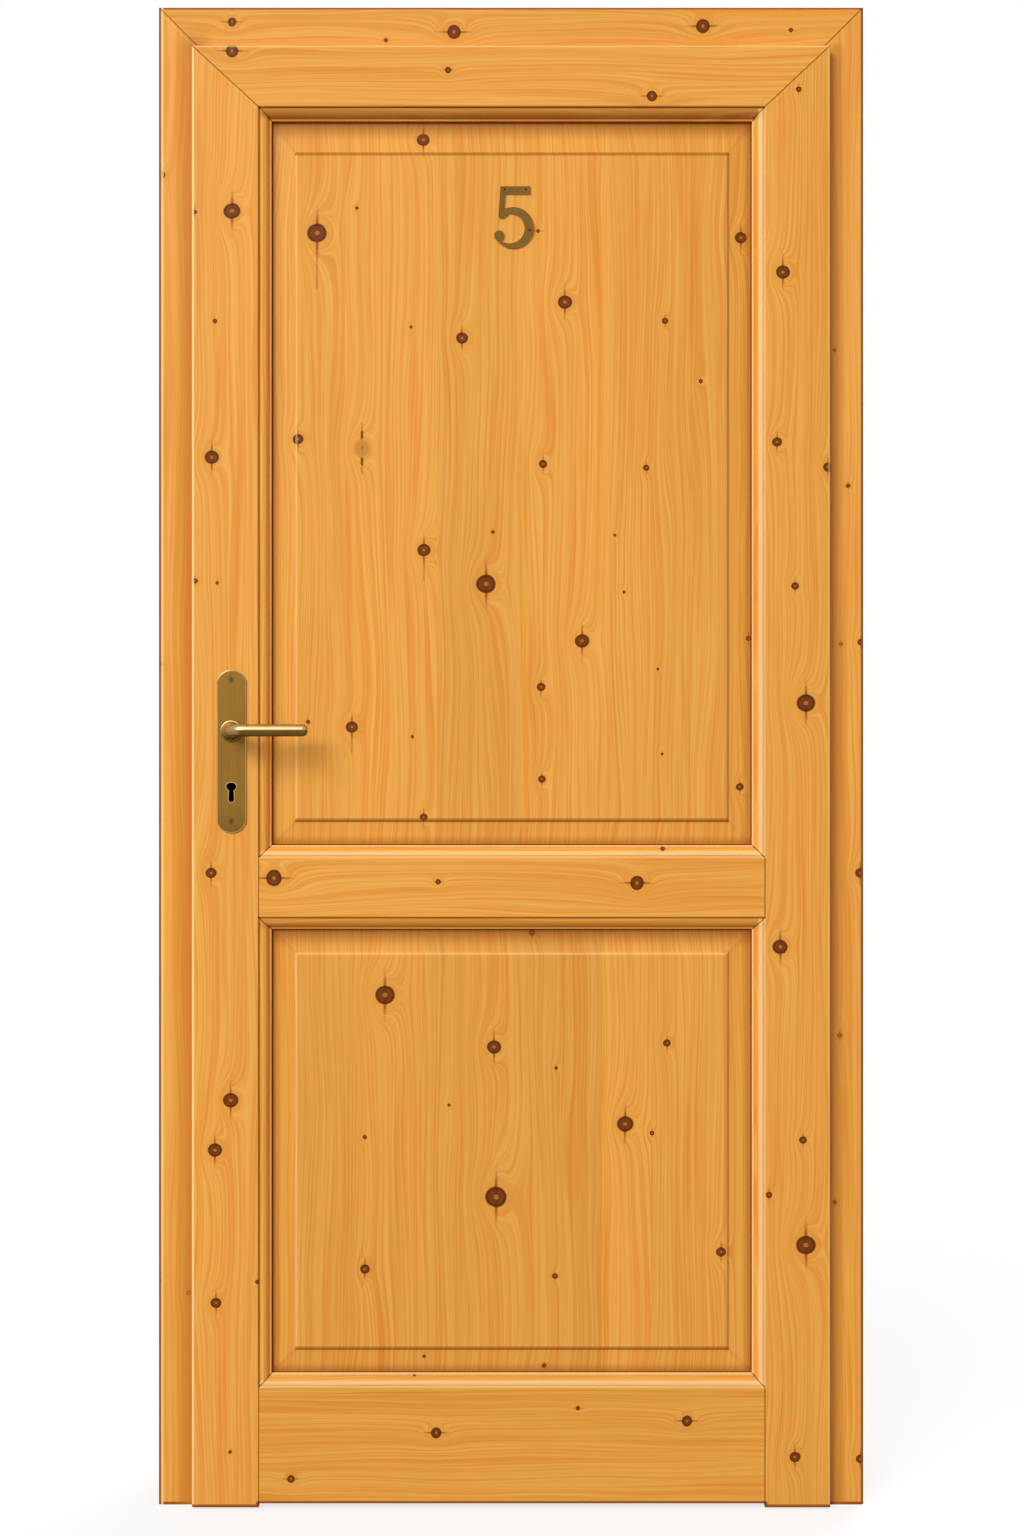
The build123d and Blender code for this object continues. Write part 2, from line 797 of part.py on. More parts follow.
def numeral_pin_places(y):
    """The axes of the numeral's three pins, from a depth into the panel."""
    return [facing((x, y, z), ALONG_Y) for x, z in numeral_pin_spots]


numeral_pin_hole = numeral_pin_radius + screw_hole_fit
upper_panel = panel(middle_high_sight_z, top_sight_z, upper_field_top_margin)
with BuildPart() as upper_panel_cut:
    add(upper_panel.part)
    drill(numeral_pin_places(field_front_y), numeral_pin_hole, numeral_pin_length - numeral_thickness)
save(upper_panel_cut, "upper_panel")
lower_panel = panel(bottom_sight_z, middle_low_sight_z, field_margin)
save(lower_panel, "lower_panel")

# Numeral: top bar, leaning stem with a round foot, bowl between two shifted circles, ball at the end
with BuildPart() as numeral_five:
    numeral_plane = Plane(origin=(numeral_x, field_front_y, numeral_z), x_dir=ALONG_X, z_dir=BACK_Y)
    with BuildSketch(numeral_plane) as numeral_outline:
        foot_x = numeral_stem_width - numeral_stem_foot_left
        Circle(numeral_bowl_radius)
        with Locations((-numeral_bowl_shift, -numeral_bowl_sink)):
            Circle(numeral_bowl_inner, mode=Mode.SUBTRACT)
        Polygon(
            (-numeral_bowl_inner, -numeral_ball_drop),
            (-numeral_bowl_radius - overrun, -numeral_ball_drop),
            (-numeral_bowl_radius - overrun, numeral_bowl_radius),
            (-numeral_stem_foot_left, numeral_bowl_radius),
            (foot_x, numeral_stem_foot),
            align=None,
            mode=Mode.SUBTRACT,
        )
        bar_low = numeral_bar_top - numeral_bar_depth
        Polygon(
            (-numeral_bar_left, numeral_bar_top),
            (numeral_bar_right, numeral_bar_top),
            (numeral_bar_right, bar_low),
            (-numeral_bar_left, bar_low),
            align=None,
        )
        Polygon(
            (-numeral_bar_left, numeral_bar_top),
            (-numeral_bar_left + numeral_stem_width, numeral_bar_top),
            (foot_x, numeral_stem_foot),
            (-numeral_stem_foot_left, numeral_stem_foot),
            align=None,
        )
        Polygon(
            (foot_x, numeral_stem_foot),
            (-numeral_bowl_shift, numeral_bowl_inner - numeral_bowl_sink),
            (foot_x, numeral_bowl_inner),
            align=None,
        )
        with Locations((-numeral_ball_x, -numeral_ball_drop)):
            Circle(numeral_ball_radius)
        foot_corners = numeral_outline.vertices().sort_by_distance((foot_x, numeral_stem_foot))[:2]
        fillet(foot_corners, numeral_foot_round)
        ball_corners = numeral_outline.vertices().sort_by_distance((-numeral_ball_x, -numeral_ball_drop))[:2]
        fillet(ball_corners, numeral_notch_round)
    extrude(amount=numeral_thickness)
    chamfer(numeral_five.faces().sort_by(Axis.Y)[0].edges(), numeral_edge)
    numeral_depth = numeral_thickness + overrun
    drill(numeral_pin_places(field_front_y - numeral_depth), numeral_pin_hole, numeral_depth)
save(numeral_five, "numeral_five")

with BuildPart() as numeral_pins:
    pin_head_y = field_front_y - numeral_thickness - numeral_pin_proud
    with Locations(*numeral_pin_places(pin_head_y)):
        Cylinder(numeral_pin_radius, numeral_pin_length, align=MIN)
    chamfer(numeral_pins.edges().filter_by(GeomType.CIRCLE).group_by(Axis.Y)[0], numeral_pin_proud)
save(numeral_pins, "numeral_pins")


# Handle plates
def plate(face_y, out, has_keyhole):
    """A long plate on one face of the leaf; out is -1 towards the front and 1 towards the back."""
    half = plate_width / 2
    with BuildPart() as piece:
        outward = (0, out, 0)
        across = (-out, 0, 0)
        with BuildSketch(Plane(origin=(spindle_x, face_y, spindle_height), x_dir=across, z_dir=outward)):
            with BuildLine():
                high = plate_above - plate_end_sagitta
                low = plate_end_sagitta - plate_below
                ThreePointArc((-half, high), (0, plate_above), (half, high))
                Line((half, high), (half, low))
                ThreePointArc((half, low), (0, -plate_below), (-half, low))
                Line((-half, low), (-half, high))
            make_face()
        extrude(amount=plate_thickness - plate_bevel_height)
        outer_face = piece.faces().sort_by(Axis.Y)[0 if out < 0 else -1]
        extrude(outer_face, amount=plate_bevel_height, taper=plate_bevel_angle)
        top_y = face_y + out * plate_thickness
        if has_keyhole:
            with BuildSketch(keyhole_plane(top_y)):
                keyhole(keyhole_rim_width)
            extrude(amount=-out * keyhole_rim_height)
            with BuildSketch(keyhole_plane(top_y + out * overrun)):
                keyhole(0)
            extrude(amount=out * (plate_thickness + overrun * 2), mode=Mode.SUBTRACT)
        inward = (0, -out, 0)
        drill(
            [facing((spindle_x, top_y + out * overrun, spindle_height), inward)],
            bush_sleeve_radius + bush_fit,
            plate_thickness + overrun * 2,
        )
        countersink(
            plate_screw_places(top_y, inward),
            wood_screw_head,
            wood_screw_radius + screw_hole_fit,
            plate_thickness + overrun,
        )
        drill(
            [facing((spindle_x, top_y, spindle_height - plate_dimple_drop), inward)],
            plate_dimple_radius,
            plate_dimple_depth,
        )
    return piece


save(plate(leaf_front_y, -1, True), "front_plate")
save(plate(leaf_back_y, 1, False), "rear_plate")
save(screws(plate_screw_set, wood_screw_head, wood_screw_radius, plate_screw_length), "plate_screws")

# Bushes that carry the levers in the plates
with BuildPart() as lever_bushes:
    for face_y, out in ((front_plate_y, -1), (rear_plate_y, 1)):
        outward = (0, out, 0)
        inward = (0, -out, 0)
        with Locations(facing((spindle_x, face_y, spindle_height), outward)):
            Cylinder(bush_flange_radius, bush_flange_height, align=MIN)
        with Locations(facing((spindle_x, face_y, spindle_height), inward)):
            Cylinder(bush_sleeve_radius, bush_sleeve_length, align=MIN)
        tip_y = face_y + out * bush_flange_height
        drill(
            [facing((spindle_x, tip_y, spindle_height), inward)],
            lever_journal_radius + lever_journal_fit,
            bush_flange_height + bush_sleeve_length,
        )
        end_rims = lever_bushes.edges().filter_by(GeomType.CIRCLE).group_by(Axis.Y)[0 if out < 0 else -1]
        fillet(end_rims.sort_by(SortBy.RADIUS)[-1], bush_flange_round)
save(lever_bushes, "lever_bushes")


# Levers
def lever(face_y, out):
    """A lever: journal, domed root, bent neck and round bar, with a square socket for the spindle."""
    root_y = face_y + out * (plate_thickness + bush_flange_height + lever_gap)
    bar_y = face_y + out * (lever_stand - lever_radius)
    outward = (0, out, 0)
    inward = (0, -out, 0)
    journal = plate_thickness + bush_flange_height + lever_gap
    tip_x = spindle_x + lever_length
    with BuildPart() as piece:
        with BuildLine() as path:
            bend_y = bar_y - out * lever_bend_radius
            turn = lever_bend_radius * quarter_share
            Line((spindle_x, root_y, spindle_height), (spindle_x, bend_y, spindle_height))
            ThreePointArc(
                (spindle_x, bend_y, spindle_height),
                (spindle_x + turn, bar_y - out * turn, spindle_height),
                (spindle_x + lever_bend_radius, bar_y, spindle_height),
            )
            Line((spindle_x + lever_bend_radius, bar_y, spindle_height), (tip_x, bar_y, spindle_height))
        with BuildSketch(Plane(origin=(spindle_x, root_y, spindle_height), x_dir=ALONG_X, z_dir=outward)):
            Circle(lever_radius)
        sweep(path=path.line)
        fillet(piece.edges().group_by(Axis.X)[-1], lever_end_round)
        with BuildSketch(Plane(origin=(spindle_x, root_y, spindle_height), x_dir=ALONG_X, z_dir=(0, 0, out))):
            with BuildLine():
                dome_top = (0, lever_root_height)
                dome_middle = (lever_root_radius * lever_dome_share, lever_root_height * lever_dome_share)
                Polyline(dome_top, (0, 0), (lever_root_radius, 0))
                ThreePointArc((lever_root_radius, 0), dome_middle, dome_top)
            make_face()
        revolve(axis=Axis((spindle_x, root_y, spindle_height), outward))
        with Locations(facing((spindle_x, root_y, spindle_height), inward)):
            Cylinder(lever_journal_radius, journal, align=MIN)
        hole = spindle_size + spindle_clearance * 2
        socket_depth = spindle_reach + spindle_clearance * 2
        with Locations(facing((spindle_x, face_y, spindle_height), outward, ALONG_X)):
            Box(hole, hole, socket_depth, align=MIN, mode=Mode.SUBTRACT)
        drill(
            [facing((spindle_x, face_y + out * grub_reach, spindle_height), BACK_Z)],
            grub_radius,
            lever_root_radius + overrun,
        )
    return piece


front_lever = lever(leaf_front_y, -1)
save(front_lever, "front_lever")
rear_lever = lever(leaf_back_y, 1)
save(rear_lever, "rear_lever")

with BuildPart() as lever_grub_screws:
    grub_top = spindle_size / 2 + spindle_clearance
    for face_y, out in ((leaf_front_y, -1), (leaf_back_y, 1)):
        grub_y = face_y + out * grub_reach
        with Locations(facing((spindle_x, grub_y, spindle_height - grub_top), BACK_Z, ALONG_X)):
            Cylinder(grub_radius - spindle_clearance, lever_radius - grub_top, align=MIN)
    low_faces = lever_grub_screws.faces().sort_by(Axis.Z)[:2]
    with Locations(*[facing(face.center(), ALONG_Z, ALONG_X) for face in low_faces]):
        Box(screw_slot_width, grub_radius * 2, screw_slot_depth, align=MIN, mode=Mode.SUBTRACT)
save(lever_grub_screws, "lever_grub_screws")

with BuildPart() as spindle:
    half = spindle_size / 2
    block(
        (spindle_x - half, leaf_front_y - spindle_reach, spindle_height - half),
        (spindle_x + half, leaf_back_y + spindle_reach, spindle_height + half),
    )
save(spindle, "spindle")

# Lock case: base plate towards the front of the leaf, rim on three sides, posts and guide stud
with BuildPart() as lock_case:
    block((case_left_x, case_front_y, case_bottom_z), (case_right_x, case_back_y - lock_wall, case_top_z))
    block(
        (case_left_x - overrun, case_front_y + lock_wall, case_bottom_z + lock_wall),
        (case_right_x - lock_wall, case_back_y + overrun, case_top_z - lock_wall),
        Mode.SUBTRACT,
    )
    base_y = case_front_y + lock_wall
    post_length = lock_case_thickness - lock_wall * 2
    with Locations(*[facing((x, base_y, z), ALONG_Y) for x, z in cover_posts]):
        Cylinder(post_radius, post_length, align=MIN)
    drill([facing((x, base_y, z), ALONG_Y) for x, z in cover_posts], cover_screw_radius, post_length)
    with Locations(facing((bolt_stud_x, base_y, bolt_z), ALONG_Y)):
        Cylinder(bolt_stud_radius, post_length, align=MIN)
    drill(
        [facing((spindle_x, case_front_y - overrun, spindle_height), ALONG_Y)],
        follower_journal_radius + follower_fit,
        lock_wall + overrun * 2,
    )
    with BuildSketch(keyhole_plane(case_front_y - overrun)):
        keyhole(keyhole_clearance)
    extrude(amount=-(lock_wall + overrun * 2), mode=Mode.SUBTRACT)
save(lock_case, "lock_case")

cover_screw_set = [facing((x, case_back_y, z), BACK_Y, ALONG_X) for x, z in cover_posts]
with BuildPart() as lock_cover:
    block((case_left_x, case_back_y - lock_wall, case_bottom_z), (case_right_x, case_back_y, case_top_z))
    drill(
        [facing((spindle_x, case_back_y + overrun, spindle_height), BACK_Y)],
        follower_journal_radius + follower_fit,
        lock_wall + overrun * 2,
    )
    countersink(cover_screw_set, cover_screw_head, cover_screw_radius, lock_wall + overrun)
save(lock_cover, "lock_cover")
save(screws(cover_screw_set, cover_screw_head, cover_screw_radius, cover_screw_length), "cover_screws")

with BuildPart() as lock_forend:
    block(
        (edge_left_x, lock_mid_y - forend_width / 2, spindle_height - forend_below),
        (case_left_x, lock_mid_y + forend_width / 2, spindle_height + forend_above),
    )
    for level, height in ((latch_z, latch_height), (bolt_z, bolt_height)):
        half_width = latch_width / 2 + lock_clearance
        half_height = height / 2 + lock_clearance
        block(
            (edge_left_x - overrun, lock_mid_y - half_width, level - half_height),
            (case_left_x + overrun, lock_mid_y + half_width, level + half_height),
            Mode.SUBTRACT,
        )
    forend_hole = forend_thickness + overrun
    countersink(forend_screw_set, wood_screw_head, wood_screw_radius + screw_hole_fit, forend_hole)
save(lock_forend, "lock_forend")
save(screws(forend_screw_set, wood_screw_head, wood_screw_radius, wood_screw_length), "forend_screws")

# Follower: hub with a square hole, an arm that draws the latch and a lug for its return spring
with BuildPart() as follower:
    hub_y = case_front_y + lock_wall + follower_side_gap
    hub_length = lock_case_thickness - (lock_wall + follower_side_gap) * 2
    with Locations(facing((spindle_x, hub_y, spindle_height), ALONG_Y)):
        Cylinder(follower_hub_radius, hub_length, align=MIN)
    with Locations(facing((spindle_x, case_front_y, spindle_height), ALONG_Y)):
        Cylinder(follower_journal_radius, lock_case_thickness, align=MIN)
    arm_low_y = lock_mid_y - follower_arm_thickness / 2
    arm_high_y = lock_mid_y + follower_arm_thickness / 2
    block(
        (spindle_x - follower_arm_half, arm_low_y, spindle_height),
        (spindle_x + follower_arm_half, arm_high_y, spindle_height + follower_arm_reach),
    )
    block(
        (spindle_x - follower_lug_half, arm_low_y, spindle_height - follower_lug_reach),
        (spindle_x + follower_lug_half, arm_high_y, spindle_height),
    )
    hole = spindle_size + spindle_clearance * 2
    with Locations((spindle_x, lock_mid_y, spindle_height)):
        Box(hole, lock_case_thickness + overrun, hole, mode=Mode.SUBTRACT)
save(follower, "follower")

# Latch bolt: bevelled head through the forend, tail over the follower's arm, hook behind it
hook_left_x = spindle_x + follower_arm_half + latch_hook_clearance
hook_right_x = hook_left_x + latch_hook_width
with BuildPart() as latch_bolt:
    tip_x = edge_left_x - latch_throw
    head_x = edge_left_x + latch_head_length
    half_width = latch_width / 2
    with BuildSketch(Plane.XY.offset(latch_z - latch_height / 2)):
        Polygon(
            (head_x, lock_mid_y - half_width),
            (tip_x, lock_mid_y - half_width),
            (tip_x, lock_mid_y - half_width + latch_bevel_land),
            (edge_left_x, lock_mid_y + half_width),
            (head_x, lock_mid_y + half_width),
            align=None,
        )
    extrude(amount=latch_height)
    half_tail = latch_tail_thickness / 2
    tail_low = spindle_height + latch_tail_bottom
    block(
        (head_x, lock_mid_y - half_tail, tail_low),
        (hook_right_x, lock_mid_y + half_tail, tail_low + latch_tail_height),
    )
    block(
        (hook_left_x, lock_mid_y - half_tail, spindle_height + latch_hook_bottom),
        (hook_right_x, lock_mid_y + half_tail, tail_low),
    )
save(latch_bolt, "latch_bolt")

# Deadbolt, drawn back: head behind the forend, slotted tail on the guide stud, notches for its spring
with BuildPart() as deadbolt:
    half_width = latch_width / 2
    half_height = bolt_height / 2
    head_x = edge_left_x + bolt_head_length
    end_x = edge_left_x + bolt_length
    block(
        (edge_left_x, lock_mid_y - half_width, bolt_z - half_height),
        (head_x, lock_mid_y + half_width, bolt_z + half_height),
    )
    half_tail = bolt_tail_thickness / 2
    block(
        (head_x, lock_mid_y - half_tail, bolt_z - half_height),
        (end_x, lock_mid_y + half_tail, bolt_z + half_height),
    )
    slot_radius = bolt_stud_radius + lock_clearance
    with BuildSketch(Plane.XZ.offset(-lock_mid_y)):
        with Locations((bolt_stud_x + bolt_throw / 2, bolt_z)):
            SlotCenterToCenter(bolt_throw, slot_radius * 2)
    extrude(amount=latch_width, both=True, mode=Mode.SUBTRACT)
    notch_places = [
        facing((bolt_stud_x + shift, lock_mid_y - half_width, bolt_z + half_height), ALONG_Y)
        for shift in (0, bolt_throw)
    ]
    drill(notch_places, bolt_notch_radius, latch_width)
    talon_x = bolt_stud_x + bolt_throw / 2
    talon_place = facing((talon_x, lock_mid_y - half_width, bolt_z - half_height), ALONG_Y)
    drill([talon_place], bolt_talon_radius, latch_width)
save(deadbolt, "deadbolt")


# Springs of the lock: flat strips bent in X and Z
def strip_spring(points):
    """A flat spring along points in X and Z, as wide as its width across the lock."""
    with BuildPart() as piece:
        with BuildSketch(Plane.XZ.offset(spring_width / 2 - lock_mid_y)):
            with BuildLine() as path:
                Polyline(*points)
            trace(path.line, line_width=spring_thickness)
        extrude(amount=-spring_width)
    return piece


spring_seat = spring_thickness / 2 + seal_fit
inner_right_x = case_right_x - lock_wall - spring_seat
inner_top_z = case_top_z - lock_wall - spring_seat
latch_spring_touch = hook_right_x + spring_seat
latch_spring = strip_spring(
    [
        (inner_right_x - latch_hook_width, inner_top_z),
        (inner_right_x, inner_top_z),
        (inner_right_x, latch_z + latch_height / 2),
        (latch_spring_touch, spindle_height + latch_hook_bottom + latch_hook_width),
    ]
)
save(latch_spring, "latch_spring")
lug_foot_z = spindle_height - follower_lug_reach
follower_spring = strip_spring(
    [
        (case_left_x + spring_seat, lug_foot_z - follower_lug_reach),
        (case_left_x + spring_seat, lug_foot_z),
        (spindle_x - follower_lug_half - spring_seat, lug_foot_z + follower_lug_half),
    ]
)
save(follower_spring, "follower_spring")
bolt_top_z = bolt_z + bolt_height / 2
deadbolt_spring = strip_spring(
    [
        (inner_right_x, bolt_top_z + bolt_talon_radius * 2),
        (inner_right_x, bolt_top_z + bolt_talon_radius),
        (bolt_stud_x + bolt_notch_radius, bolt_top_z + spring_thickness),
        (bolt_stud_x, bolt_top_z - bolt_notch_radius + spring_thickness * 2),
        (bolt_stud_x - bolt_notch_radius, bolt_top_z + spring_thickness),
    ]
)
save(deadbolt_spring, "deadbolt_spring")


# Frame: front casing with its rebate, mitred at the top corners
def casing_section(inner, outer, is_side):
    """The front casing's section: a face board with a thicker body along the rebate."""
    way = 1 if outer > inner else -1
    body = inner + way * casing_body_width

    def place(across, y):
        return (across, y) if is_side else (y, across)

    bend = casing_arris * quarter_share
    Polyline(
        place(outer, casing_arris),
        place(outer, casing_thickness),
        place(body, casing_thickness),
        place(body, casing_back_y),
        place(inner, casing_back_y),
        place(inner, casing_inner_arris),
        place(inner + way * casing_inner_arris, 0),
        place(outer - way * casing_arris, 0),
    )
    ThreePointArc(
        place(outer - way * casing_arris, 0),
        place(outer - way * bend, bend),
        place(outer, casing_arris),
    )


def corner_cut(inner_x, outer_x, inner_z, outer_z, side, keep_head):
    """Cut a mitred top corner, keeping the head or the side piece."""
    past = overrun + outer_z - inner_z
    slope = (outer_z - inner_z) / (outer_x - inner_x)
    inner_run = past / slope
    low = (side * (inner_x - inner_run), inner_z - past)
    high = (side * (outer_x + inner_run), outer_z + past)
    if keep_head:
        upright_cut([low, high, (high[0], low[1])])
    else:
        upright_cut([low, high, (low[0], high[1])])


tongue_centre_x = (casing_inner_x + casing_outer_x) / 2
tongue_centre_z = (casing_inner_z + casing_top_z) / 2
rear_tongue_x = (rear_inner_x + rear_outer_x) / 2
rear_tongue_z = (rear_inner_z + rear_outer_z) / 2
front_tongue_y = casing_thickness / 2
rear_tongue_y = wall_back_y + rear_casing_thickness / 2
tongue_places = [
    (side * x, y, z, side)
    for x, y, z in (
        (tongue_centre_x, front_tongue_y, tongue_centre_z),
        (rear_tongue_x, rear_tongue_y, rear_tongue_z),
    )
    for side in (-1, 1)
]


def tongue_blocks(grow, mode):
    """Loose tongues across the mitres, larger by a clearance where they are cut as slots."""
    run = casing_side_show * tongue_run_share
    for x, y, z, side in tongue_places:
        with Locations(Location((x, y, z), (0, -side * tongue_lean, 0))):
            Box(run + grow * 2, tongue_thickness + grow * 2, tongue_span + grow * 2, mode=mode)


with BuildPart() as mitre_tongues:
    tongue_blocks(0, Mode.ADD)
save(mitre_tongues, "mitre_tongues")


def side_casing(side):
    """A side piece of the front casing."""
    with BuildPart() as piece:
        with BuildSketch(Plane.XY):
            with BuildLine():
                casing_section(side * casing_inner_x, side * casing_outer_x, True)
            make_face()
        extrude(amount=casing_top_z)
        corner_cut(casing_inner_x, casing_outer_x, casing_inner_z, casing_top_z, side, False)
        tongue_blocks(tongue_clearance, Mode.SUBTRACT)
    return piece


lock_casing = side_casing(-1)
with BuildPart() as lock_side_casing:
    add(lock_casing.part)
    block(
        (-casing_inner_x - strike_thickness, lock_mid_y - strike_width / 2, spindle_height - strike_below),
        (-casing_inner_x + overrun, lock_mid_y + strike_width / 2, spindle_height + strike_above),
        Mode.SUBTRACT,
    )
    pocket_half = latch_width / 2 + strike_window_margin
    for level, height, reach in ((latch_z, latch_height, latch_throw), (bolt_z, bolt_height, bolt_throw)):
        tall = height / 2 + strike_latch_margin
        block(
            (edge_left_x - reach - strike_pocket_margin, lock_mid_y - pocket_half, level - tall),
            (-casing_inner_x + overrun, lock_mid_y + pocket_half, level + tall),
            Mode.SUBTRACT,
        )
    drill(strike_screw_set, wood_screw_radius + screw_hole_fit, wood_screw_length + overrun)
save(lock_side_casing, "lock_side_casing")

hinge_casing = side_casing(1)
with BuildPart() as hinge_side_casing:
    add(hinge_casing.part)
    for hinge_level in hinge_levels:
        pocket = lug_outer + hinge_pocket_clearance
        block(
            (casing_inner_x - overrun, hinge_skin, hinge_level - pocket),
            (
                bracket_outer_x + hinge_pocket_clearance,
                bracket_back_y + hinge_pocket_clearance,
                hinge_level + pocket,
            ),
            Mode.SUBTRACT,
        )
        slot = hinge_arm_height / 2 + hinge_slot_clearance
        block(
            (casing_inner_x - overrun, -overrun, hinge_level - slot),
            (leaf_right_x + hinge_slot_clearance / 2, hinge_skin + overrun, hinge_level + slot),
            Mode.SUBTRACT,
        )
        block(
            (casing_inner_x - overrun, hinge_skin, hinge_level - flange_end),
            (
                casing_inner_x + hinge_flange_thickness,
                bracket_back_y + hinge_pocket_clearance,
                hinge_level + flange_end,
            ),
            Mode.SUBTRACT,
        )
    drill(bracket_screw_set, wood_screw_radius + screw_hole_fit, hinge_screw_length + overrun)
save(hinge_side_casing, "hinge_side_casing")

with BuildPart() as head_casing:
    with BuildSketch(Plane.YZ.offset(-casing_outer_x)):
        with BuildLine():
            casing_section(casing_inner_z, casing_top_z, False)
        make_face()
    extrude(amount=casing_outer_x * 2)
    for side in (-1, 1):
        corner_cut(casing_inner_x, casing_outer_x, casing_inner_z, casing_top_z, side, True)
    tongue_blocks(tongue_clearance, Mode.SUBTRACT)
save(head_casing, "head_casing")


# Lining: two side boards and the head between them, with a groove for the seal in the stop
def seal_groove(inner, way):
    """Across-range of the seal strip and of its tongue, measured from the lining's inner face."""
    low = inner + way * seal_inset
    middle = low + way * seal_width / 2
    return low, low + way * seal_width, middle


def lining_screw_places():
    """Screws through the side linings into the ends of the head lining."""
    span = wall_back_y - casing_back_y
    head_mid_z = (lining_head_z + lining_top_z) / 2
    return [
        facing((side * lining_outer_x, casing_back_y + span * share, head_mid_z), (-side, 0, 0))
        for side in (-1, 1)
        for share in lining_screw_shares
    ]


lining_screw_set = lining_screw_places()
fixing_high_z = lining_top_z - fixing_top_inset
fixing_levels = (fixing_low_z, (fixing_low_z + fixing_high_z) / 2, fixing_high_z)


def jamb(side):
    """A side board of the lining."""
    inner = side * lining_inner_x
    outer = side * lining_outer_x
    low, high, middle = seal_groove(inner, side)
    half = seal_tongue_width / 2 + seal_fit
    with BuildPart() as piece:
        block((min(inner, outer), casing_back_y, 0), (max(inner, outer), wall_back_y, lining_top_z))
        block(
            (middle - half, casing_back_y - overrun, -overrun),
            (middle + half, casing_back_y + seal_tongue_depth + seal_fit, lining_head_z + overrun * 2),
            Mode.SUBTRACT,
        )
        places = [facing((inner - side * overrun, lining_mid_y, z), (side, 0, 0)) for z in fixing_levels]
        drill(places, fixing_hole_radius, lining_thickness + overrun * 2)
        screw_hole = wood_screw_radius + screw_hole_fit
        countersink(lining_screw_set, wood_screw_head, screw_hole, lining_screw_length)
    return piece


save(jamb(-1), "lock_jamb")
save(jamb(1), "hinge_jamb")

seal_low_z, seal_high_z, seal_middle_z = seal_groove(lining_head_z, 1)
with BuildPart() as head_jamb:
    block((-lining_inner_x, casing_back_y, lining_head_z), (lining_inner_x, wall_back_y, lining_top_z))
    half = seal_tongue_width / 2 + seal_fit
    block(
        (-lining_inner_x - overrun, casing_back_y - overrun, seal_middle_z - half),
        (lining_inner_x + overrun, casing_back_y + seal_tongue_depth + seal_fit, seal_middle_z + half),
        Mode.SUBTRACT,
    )
    drill(lining_screw_set, wood_screw_radius + screw_hole_fit, lining_screw_length + overrun)
save(head_jamb, "head_jamb")
save(screws(lining_screw_set, wood_screw_head, wood_screw_radius, lining_screw_length), "lining_screws")

# Seal strips: a soft bead on the stop with a tongue in the lining
seal_front_y = leaf_back_y + seal_clearance
seal_tongue_y = casing_back_y + seal_tongue_depth


def seal_section(low, high, middle, is_side):
    """The seal's section: a rounded bead against the leaf and a tongue behind it."""

    def place(across, y):
        return (across, y) if is_side else (y, across)

    half = seal_tongue_width / 2
    ThreePointArc(place(low, casing_back_y), place(middle, seal_front_y), place(high, casing_back_y))
    Polyline(
        place(high, casing_back_y),
        place(middle + half, casing_back_y),
        place(middle + half, seal_tongue_y),
        place(middle - half, seal_tongue_y),
        place(middle - half, casing_back_y),
        place(low, casing_back_y),
    )


for side, name in ((-1, "lock_side_seal"), (1, "hinge_side_seal")):
    low, high, middle = seal_groove(side * lining_inner_x, side)
    with BuildPart() as seal:
        with BuildSketch(Plane.XY):
            with BuildLine():
                seal_section(min(low, high), max(low, high), middle, True)
            make_face()
        extrude(amount=lining_head_z)
    save(seal, name)

with BuildPart() as head_seal:
    with BuildSketch(Plane.YZ.offset(-lining_inner_x)):
        with BuildLine():
            seal_section(seal_low_z, seal_high_z, seal_middle_z, False)
        make_face()
    extrude(amount=lining_inner_x * 2)
save(head_seal, "head_seal")


# Rear casing: plain boards with rounded outer edges, mitred at the top corners
def rear_section(inner, outer, is_side):
    """The rear casing's section."""
    way = 1 if outer > inner else -1

    def place(across, y):
        return (across, y) if is_side else (y, across)

    bend = casing_arris * quarter_share
    Polyline(
        place(outer, rear_back_y - casing_arris),
        place(outer, wall_back_y),
        place(inner, wall_back_y),
        place(inner, rear_back_y - casing_arris),
    )
    ThreePointArc(
        place(inner, rear_back_y - casing_arris),
        place(inner + way * bend, rear_back_y - bend),
        place(inner + way * casing_arris, rear_back_y),
    )
    Line(place(inner + way * casing_arris, rear_back_y), place(outer - way * casing_arris, rear_back_y))
    ThreePointArc(
        place(outer - way * casing_arris, rear_back_y),
        place(outer - way * bend, rear_back_y - bend),
        place(outer, rear_back_y - casing_arris),
    )


for side, name in ((-1, "rear_lock_casing"), (1, "rear_hinge_casing")):
    with BuildPart() as rear_side:
        with BuildSketch(Plane.XY):
            with BuildLine():
                rear_section(side * rear_inner_x, side * rear_outer_x, True)
            make_face()
        extrude(amount=rear_outer_z)
        corner_cut(rear_inner_x, rear_outer_x, rear_inner_z, rear_outer_z, side, False)
        tongue_blocks(tongue_clearance, Mode.SUBTRACT)
    save(rear_side, name)

with BuildPart() as rear_head_casing:
    with BuildSketch(Plane.YZ.offset(-rear_outer_x)):
        with BuildLine():
            rear_section(rear_inner_z, rear_outer_z, False)
        make_face()
    extrude(amount=rear_outer_x * 2)
    for side in (-1, 1):
        corner_cut(rear_inner_x, rear_outer_x, rear_inner_z, rear_outer_z, side, True)
    tongue_blocks(tongue_clearance, Mode.SUBTRACT)
save(rear_head_casing, "rear_head_casing")

